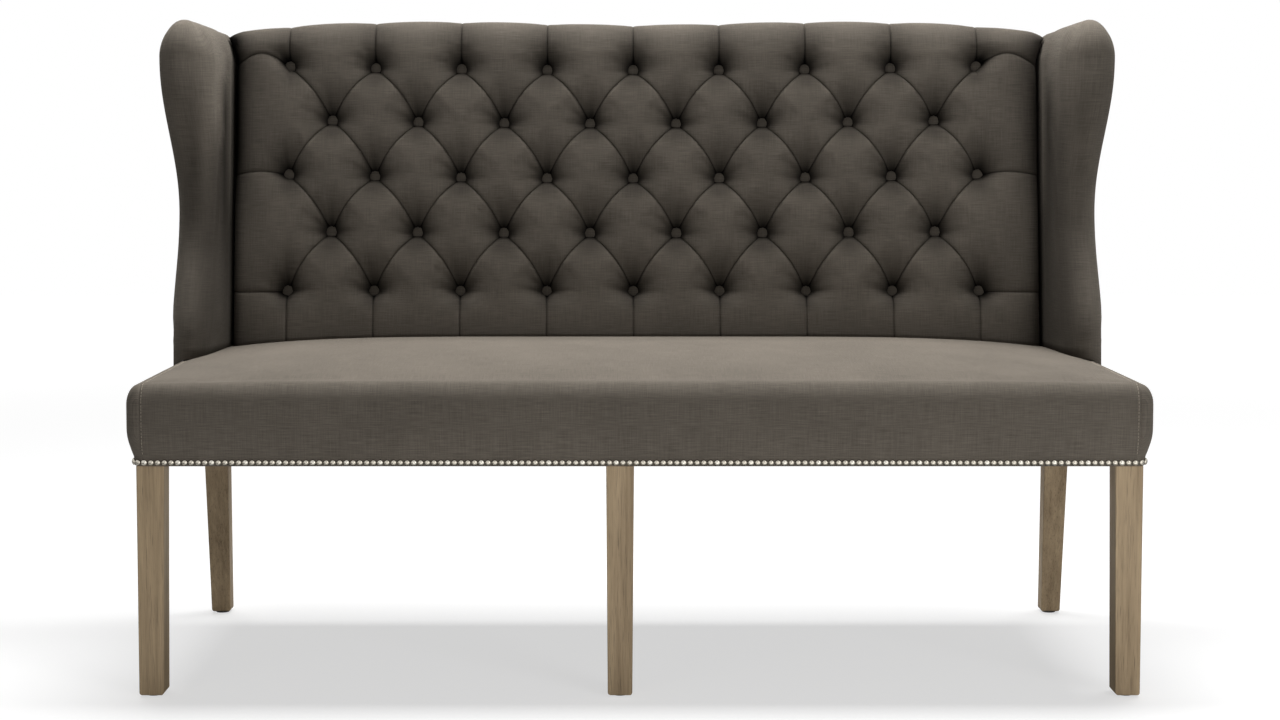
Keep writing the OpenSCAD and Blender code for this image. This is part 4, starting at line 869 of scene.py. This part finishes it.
def makeWingShell(side):
    skin, dome = wing["start"], wing["domeRings"]
    base = wingPlan(edgeZ, skin)
    rings = [[(x, d, seatedAt(x, d)) for x, d, _ in base]]
    for t in np.linspace(0.02, 1, wing["rings"]):
        z, low = mix(edgeZ + 0.016, wingShoulder, t), t < 0.06
        rings.append([(x, d, max(z, seatedAt(x, d) + 0.0005 * (k + 1)) if low else z)
                      for k, (x, d, _) in enumerate(wingPlan(z, skin))])
    shoulder = wingPlan(wingShoulder, skin)
    for _, c, s in arc(5, 84, dome):
        ring = []
        for x, d, k in shoulder:
            power = mix(wing["domePower"], wing["nosePower"], float(ease(k - 3)))
            power = mix(wing["rearPower"], power, float(ease(k / 1.2)))
            rx, rd, rz = ridgePlace(k, skin)
            ring.append((mix(x, rx, 1 - c), mix(d, rd, 1 - c), mix(wingShoulder, rz, s ** power)))
        rings.append(ring)
    faces = loftRings(rings)
    n, start = len(base), len(base) * len(rings)
    spine = [ridgePlace(v, skin) for v in np.linspace(0, 4, 17)]
    centre = [float(np.mean([p[axis] for p in base])) for axis in (0, 1)]
    points = np.concatenate([np.concatenate(rings), spine, [(*centre, edgeZ + 0.012)]])
    joins = [start + int(round(p[2] * 4)) for p in base]
    last, foot = start - n, len(points) - 1
    for i in range(n):  # the last ring joins the ridge
        j = (i + 1) % n
        a, b, s, t = last + i, last + j, joins[i], joins[j]
        way = 1 if s > t else -1
        faces.append((a, b, t) if s == t else (a, b, t, *range(t + way, s, way), s))
    faces += [(i, foot, (i + 1) % n) for i in range(n)]
    middle = np.array([(x, d) for x, d, _ in wingPlan(mix(edgeZ, wingShoulder, 0.6), skin)])
    run = np.concatenate([[0], np.cumsum(np.linalg.norm(np.diff(middle, axis=0), axis=1))])
    stack = np.array([np.mean([p[2] for p in ring]) for ring in rings[:-dome]])
    stack = np.concatenate([stack, stack[-1] + 0.0075 * np.arange(1, dome + 1)])
    uv = [(side * run[i] + 5 * side, v) for v in stack for i in range(n)]
    uv += [(side * run[-1] / 2, stack[-1] + 0.01)] * (len(points) - len(uv))
    points[:, 0] += cornerLean(points[:, 2]) * np.clip(1 - (points[:, 0] - wingIn) / wing["leanReach"], 0, 1)
    points = np.column_stack([side * points[:, 0], toY(points[:, 1]), points[:, 2]])
    piece = meshPiece("wingPad" + ("Left" if side < 0 else "Right"), points, faces, uv)
    turnOutward(piece, merge=True)
    setSmooth(piece)
    return piece


# How dark the painted shade of a wing is at each height: the share and the reach of the shade, then the
# groove and a fold
wingShade = {
    "seamReach": 0.008, "seamLow": 0.8, "seamHigh": 0.4, "grooveAt": 0.006, "grooveWide": 0.005,
    "foldAt": 0.05, "foldWide": 0.015, "heights": (0.58, 0.70, 0.865, 0.94, 1.06),
    "left": {"far": 0.17, "farAt": 0.83, "farTall": 0.13, "levels": (
        (0.62, 0.071, 0, 0), (0.64, 0.091, 0.11, 0), (0.53, 0.037, 0.25, 0.26), (1, 0.014, 0.23, 0.15),
        (0.1, 0.031, 0.23, 0))},
    "right": {"far": 0.05, "farAt": 0.94, "farTall": 0.10, "levels": (
        (0.69, 0.063, 0.04, 0.16), (0.69, 0.067, 0.1, 0.18), (0.66, 0.047, 0.19, 0.13),
        (0.43, 0.05, 0.44, 0.2), (0.18, 0.036, 0.19, 0))},
}


def fromWingSeam(spots):
    return np.abs(spots[:, 0]) - wingIn - cornerLean(spots[:, 2])


def shadeWing(piece, label):  # painted shade: the shade of each height fades into the next one's
    look, own = wingShade, wingShade[label]
    spots = readArray(piece.data.vertices, "co").astype(float)
    inward, z = fromWingSeam(spots), spots[:, 2]
    past = np.maximum(inward, look["seamReach"])
    inGroove = hill(past - look["grooveAt"], look["grooveWide"])
    inFold = hill(past - look["foldAt"], look["foldWide"])
    levels = np.array([dark * (1 - ease(past, reach / 4, reach * 3 / 4)) + groove * inGroove + fold * inFold
                       for dark, reach, groove, fold in own["levels"]])
    place = np.interp(z, look["heights"], range(len(levels)))
    low, index = np.minimum(place.astype(int), len(levels) - 2), np.arange(len(spots))
    shade = mix(levels[low, index], levels[low + 1, index], place - low)
    shade = ramp(shade + own["far"] * hill(z - own["farAt"], own["farTall"]))
    seam = mix(look["seamLow"], look["seamHigh"], ease(z, 0.7, 0.15))
    setShade(piece, mix(seam, shade, ramp(inward, 0, look["seamReach"])))


for side, label in ((-1, "left"), (1, "right")):
    piece = makeWingShell(side)
    spots = readArray(piece.data.vertices, "co").astype(float)
    held = (spots[:, 2] < edgeZ + wing["heldFoot"]) | (fromWingSeam(spots) < wing["heldSeam"])
    swellCloth(piece, np.nonzero(held)[0], wing)
    shadeWing(piece, label)
    finishPiece(piece, "cloth", linen, "wing_cover_" + label, "wing_foam_" + label)
    print("wing made:", label, len(piece.data.polygons), "faces")


# Legs
legEdge = {"round": 0.0028, "steps": 3, "sharp": 35, "shortest": 0.012}


def makeLeg(node, name):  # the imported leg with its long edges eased
    shell = bmesh.new()
    shell.from_mesh(nodes[node].data)
    bmesh.ops.remove_doubles(shell, verts=shell.verts, dist=1e-5)
    bmesh.ops.dissolve_limit(shell, angle_limit=math.radians(1), verts=shell.verts, edges=shell.edges)
    high = bench["legHeight"] - 0.001
    edges = [e for e in shell.edges if e.is_manifold and e.calc_face_angle(0) > math.radians(legEdge["sharp"])
             and e.calc_length() > legEdge["shortest"] and max(v.co.z for v in e.verts) < high + 0.0015
             and min(v.co.z for v in e.verts) < high]
    bmesh.ops.bevel(shell, geom=edges, offset=legEdge["round"], segments=legEdge["steps"], profile=0.5,
                    affect="EDGES", clamp_overlap=True)
    mesh = bpy.data.meshes.new(name)
    shell.to_mesh(mesh)
    shell.free()
    finishPiece(addObject(name, mesh), "show_wood", showWood, node)


for node, name in (("front_leg_left", "frontLegLeft"), ("front_leg_right", "frontLegRight"),
                   ("front_leg_middle", "frontLegMiddle"), ("rear_leg_left", "rearLegLeft"),
                   ("rear_leg_right", "rearLegRight")):
    makeLeg(node, name)
print("legs made")


# Nails
nails = {
    "pitch": 0.01056, "head": 0.0097, "high": 0.0033, "strip": 0.0006, "band": 0.006, "rise": 0.0060,
    "rearEnd": 0.028, "every": 5, "realShare": 1.04, "spread": 0.015, "realSpread": 0.02, "seed": 7,
}
nailZ = bench["legHeight"] + nails["rise"]


def stripPath():  # from the left rear round the front to the right rear
    r, half = bench["cornerRound"], bench["seatHalf"] + bench["sideOut"]
    cornerX, cornerD = half - r, bench["swell"] + r
    rear = bench["seatDepth"] - nails["rearEnd"]
    run, bend, front = rear - cornerD, math.pi / 2 * r, 2 * cornerX
    total = 2 * (run + bend) + front

    def at(s):  # x, depth and the way that a nail faces there
        if s < run:
            x, depth, a = -half, rear - s, math.pi
        elif s < run + bend:
            a = math.pi - (s - run) / r
            x, depth = -cornerX + r * math.cos(a), cornerD - r * math.sin(a)
        elif s < run + bend + front:
            x, depth, a = s - run - bend - cornerX, bench["swell"], math.pi / 2
        elif s < total - run:
            a = math.pi / 2 - (s - run - bend - front) / r
            x, depth = cornerX + r * math.cos(a), cornerD - r * math.sin(a)
        else:
            x, depth, a = half, cornerD + s - total + run, 0.0
        return x, depth, (math.cos(a), -math.sin(a), 0)

    return at, total, int(total / nails["pitch"])


def makeNails():
    at, total, heads = stripPath()
    r, h, rim, out = nails["head"] / 2, nails["high"], 0.0002, nails["strip"]
    profile = [(0, -rim), (r * 0.97, -rim), (r, rim)]
    profile += [(r * math.cos(a), rim + h * math.sin(a)) for a in np.linspace(0.25, 1.32, 5)] + [(0, h)]
    pressed, real = ([], [], []), ([], [], [])
    for k in range(heads):
        x, depth, facing = at((k + 0.5) * total / heads)
        group = pressed if k % nails["every"] else real
        group[0].append((x + out * facing[0], toY(depth) + out * facing[1], nailZ))
        group[1].append(facing)
        group[2].append(nails["realShare"] if group is real else 1.0)
    made = []
    for name, around, (places, ways, sizes), material, spread in (
            ("nailStripHeads", 14, pressed, nickel, nails["spread"]),
            ("realNails", 16, real, brightNickel, nails["realSpread"])):
        shape = latheMesh(name + "Shape", profile, around)
        made.append(scatter(name, shape, places, ways, material, spread, nails["seed"], sizes))
    return made


def makeStripBand():  # the pressed ribbon under the heads, with a waist between each pair
    at, total, heads = stripPath()
    rings, steps = [], heads * 8
    for k in range(steps + 1):
        s = total * k / steps
        x, depth, out = at(min(s, total - 1e-6))
        waist = 0.5 - 0.5 * math.cos(2 * math.pi * (s / total * heads - 0.5))
        half = nails["band"] / 2 * mix(1.1, 0.3, waist)
        rings.append([(x + grow * out[0], toY(depth) + grow * out[1], nailZ + high) for grow, high in (
            (0, -half), (nails["strip"], -half), (nails["strip"], half), (0, half))])
    faces = loftRings(rings) + [(3, 2, 1, 0), tuple(4 * steps + e for e in range(4))]
    piece = meshPiece("nailStripBand", np.concatenate(rings), faces)
    setSmooth(piece, False)
    return turnOutward(piece)


stripHeads, realNails = makeNails()
finishPiece(makeStripBand(), "nails", ribbon, "nail_strip")
finishPiece(stripHeads, "nails", nickel, "nail_strip")
finishPiece(realNails, "nails", brightNickel, "decorative_nails")
print("nails made:", len(realNails.data.polygons) + len(stripHeads.data.polygons), "faces")


# Topstitching
stitch = {"step": 0.0054, "length": 0.0040, "thick": 0.0011, "aside": 0.0035, "spread": 0.06, "seed": 11,
          "from": 0.016, "rearEnd": 0.41, "sample": 0.001}


def makeStitches():
    r, long = stitch["thick"] / 2, stitch["length"] / 2
    profile = [(0, -long)] + [(r * math.sin(a), -long + r - r * math.cos(a)) for a in (0.5, 1.0, 1.57)]
    profile += [(r * math.sin(a), long - r - r * math.cos(a)) for a in (1.57, 2.14, 2.64)] + [(0, long)]
    mesh = seat.data
    skin = BVHTree.FromPolygons([v.co[:] for v in mesh.vertices], [tuple(f.vertices) for f in mesh.polygons])
    places, ways = [], []
    for side in (-1, 1):
        x, sample = side * (seatSeam["place"] - stitch["aside"]), stitch["sample"]
        rays = [((x, toY(-0.1), z), (0, 1, 0))
                for z in np.arange(bench["legHeight"] + stitch["from"], edgeZ - 0.006, sample)]
        rays += [((x, toY(depth), 0.8), (0, 0, -1)) for depth in np.arange(0.008, stitch["rearEnd"], sample)]
        trail = []
        for place, way in rays:  # up the front, then back over the top
            spot = skin.ray_cast(Vector(place), Vector(way))[0]
            if spot is not None and (not trail or spot.z > trail[-1].z - 0.001):
                trail.append(spot)
        gone = 0.0
        for a, b in zip(trail[:-1], trail[1:]):
            gone += (b - a).length
            if gone >= stitch["step"]:
                gone -= stitch["step"]
                places.append(b)
                ways.append((b - a).normalized())
    piece = scatter("seatTopstitch", latheMesh("stitchShape", profile, 8), places, ways, threadCloth,
                    stitch["spread"], stitch["seed"])
    finishPiece(piece, "cloth", threadCloth)


makeStitches()
print("topstitching made")


# Outside back and dust cloth
outside = {"puff": 0.0025, "corner": 0.007, "ears": 0.0045, "earsIn": 0.035, "earsRise": 0.025,
           "columns": 120, "rows": 70}
dust = {"sag": 0.004, "columns": 90, "rows": 36}


def makePanel(name, look, at, mapped):  # two layers of cloth that are joined along their rim
    columns, rows = look["columns"], look["rows"]
    step, n = columns + 1, (columns + 1) * (rows + 1)
    points = [at(u / columns, v / rows, layer)
              for layer in (0, 1) for v in range(rows + 1) for u in range(step)]
    faces = []
    for a in [v * step + u for v in range(rows) for u in range(columns)]:
        quad = (a, a + 1, a + step + 1, a + step)
        faces += [quad, tuple(n + i for i in quad[::-1])]
    rim = list(range(step)) + [v * step + columns for v in range(1, rows + 1)]
    rim += [rows * step + u for u in range(columns - 1, -1, -1)] + [v * step for v in range(rows - 1, 0, -1)]
    faces += [(a, n + a, n + b, b) for a, b in zip(rim, rim[1:] + rim[:1])]
    return turnOutward(meshPiece(name, points, faces, [(p[0], p[2]) for p in points] if mapped else None))


def makeOutsideBack():
    half = bench["seatHalf"] + bench["cloth"] - outside["corner"]
    low, top = bench["legHeight"] + 0.002, rollFoot - bench["cloth"]

    def at(u, t, layer):
        s = 2 * u - 1
        ears = ease(abs(s * half) - backHalf, -outside["earsIn"], outside["earsRise"])
        z = mix(low, top + outside["ears"] * float(ears), t)
        puff = outside["puff"] * float(ease(min(1 - abs(s), t, 1 - t) * 12))
        return s * half, toY(rearDepth(z) + (puff if layer else -bench["cloth"])), z

    piece = finishPiece(makePanel("outsideBack", outside, at, True), "cloth", linen, "outside_back")


def makeDustCloth():
    (x0, y0, z0), (x1, y1, z1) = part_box("dust_cover")

    def at(s, t, layer):
        sag = dust["sag"] * math.sin(math.pi * s) ** 0.5 * math.sin(math.pi * t)
        return mix(x0, x1, s), mix(y0, y1, t), (z1 if layer else z0 + 0.0002) - sag

    piece = finishPiece(makePanel("dustCloth", dust, at, False), "dust_cloth", blackCloth, "dust_cover")


makeOutsideBack()
makeDustCloth()
print("outside back and dust cloth made")


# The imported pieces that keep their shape
for material, names in (
        (nylon, "leg_glides"), (zinc, "block_screws board_screws twine_washers wing_screws"),
        (webCloth, "webbing_across webbing_along button_twines"), (frameWoodUp, "frame_dowels back_struts"),
        (boardWood, "back_board wing_board_left wing_board_right"),
        (frameWoodDeep, "side_rail_left side_rail_right cross_rail"),
        (frameWoodAcross, "front_rail_left front_rail_right rear_rail corner_blocks "
                          "back_top_rail back_middle_rail back_bottom_rail")):
    for node in names.split():
        setMaterial(nodes[node], material)


# Camera, light and stage
scene = bpy.context.scene
view = {"place": (-0.039, -3.745, 0.871), "down": 3.8, "lens": 61.45, "sensor": 36,
        "shift": (0.01953, -0.05336)}
cameraData = bpy.data.cameras.new("camera")
cameraData.lens, cameraData.sensor_width = view["lens"], view["sensor"]
cameraData.shift_x, cameraData.shift_y = view["shift"]
scene.camera = addObject("camera", cameraData)
scene.camera.location = view["place"]
scene.camera.rotation_euler = (math.radians(90 - view["down"]), 0, 0)

lamps = {  # place, aim, width, height and watts
    "over": ((0.15, 0.36, 3.0), (0.15, 0.38, 0.5), 3.0, 1.1, 160),
    "key": ((2.2, -3.2, 1.7), (0.0, 0.0, 0.6), 1.4, 1.4, 23),
    "bounce": ((0.55, -1.45, 0.10), (0.25, -0.3, 0.42), 3.0, 0.5, 10),
    "fill": ((-2.2, -3.4, 1.4), (0.0, 0.0, 0.6), 1.6, 1.4, 6),
}
for name, (place, aim, width, height, watts) in lamps.items():
    data = bpy.data.lights.new(name, "AREA")
    data.shape = "RECTANGLE"
    data.size, data.size_y, data.energy = width, height, watts
    lamp = addObject(name, data)
    lamp.location, lamp.visible_camera = place, False
    lamp.rotation_euler = (Vector(aim) - Vector(place)).to_track_quat("-Z", "Y").to_euler()

studio = {"soft": 0.07, "seen": 1.0, "floor": 0.5, "floorSeen": 0.42, "glowFrom": 1.4, "glowTo": 5.5,
          "glow": (0.6, 0.97), "floorHalf": 9}
scene.world = bpy.data.worlds.new("studio")
w = freshWires(scene.world)
rays = w.add("ShaderNodeLightPath").outputs
direct = w.math("MAXIMUM", rays["Is Camera Ray"], rays["Is Glossy Ray"])
seen = w.math("MAXIMUM", direct, rays["Is Transmission Ray"])
soft, white = [w.add("ShaderNodeBackground", {"Color": (1, 1, 1, 1), "Strength": studio[key]}).outputs[0]
               for key in ("soft", "seen")]
choose = w.add("ShaderNodeMixShader", {0: seen, 1: soft, 2: white})
w.add("ShaderNodeOutputWorld", {"Surface": choose.outputs[0]})

half = studio["floorHalf"]
corners = [(-half, -half, 0), (half, -half, 0), (half, half, 0), (-half, half, 0)]
floor = meshPiece("studioFloor", corners, [(0, 1, 2, 3)])
floorMaterial = bpy.data.materials.new("paleFloor")
w = freshWires(floorMaterial)
seen = w.add("ShaderNodeLightPath").outputs["Is Camera Ray"]
spot = w.add("ShaderNodeVectorMath", {0: w.add("ShaderNodeTexCoord").outputs["Object"]}, operation="LENGTH")
glow = w.stretchRange(spot.outputs["Value"], studio["glowFrom"], studio["glowTo"], *studio["glow"])
matte = w.add("ShaderNodeBsdfDiffuse", {
    "Color": w.blend(seen, (*[studio["floor"]] * 3, 1), (*[studio["floorSeen"]] * 3, 1))})
lit = w.add("ShaderNodeEmission", {"Strength": w.times(seen, glow)})  # makes up for the light that falls off
joined = w.add("ShaderNodeAddShader", {0: matte.outputs[0], 1: lit.outputs[0]})
w.add("ShaderNodeOutputMaterial", {"Surface": joined.outputs[0]})
floor.data.materials.append(floorMaterial)
scene.view_settings.view_transform = "Standard"
print("camera, light and stage made")
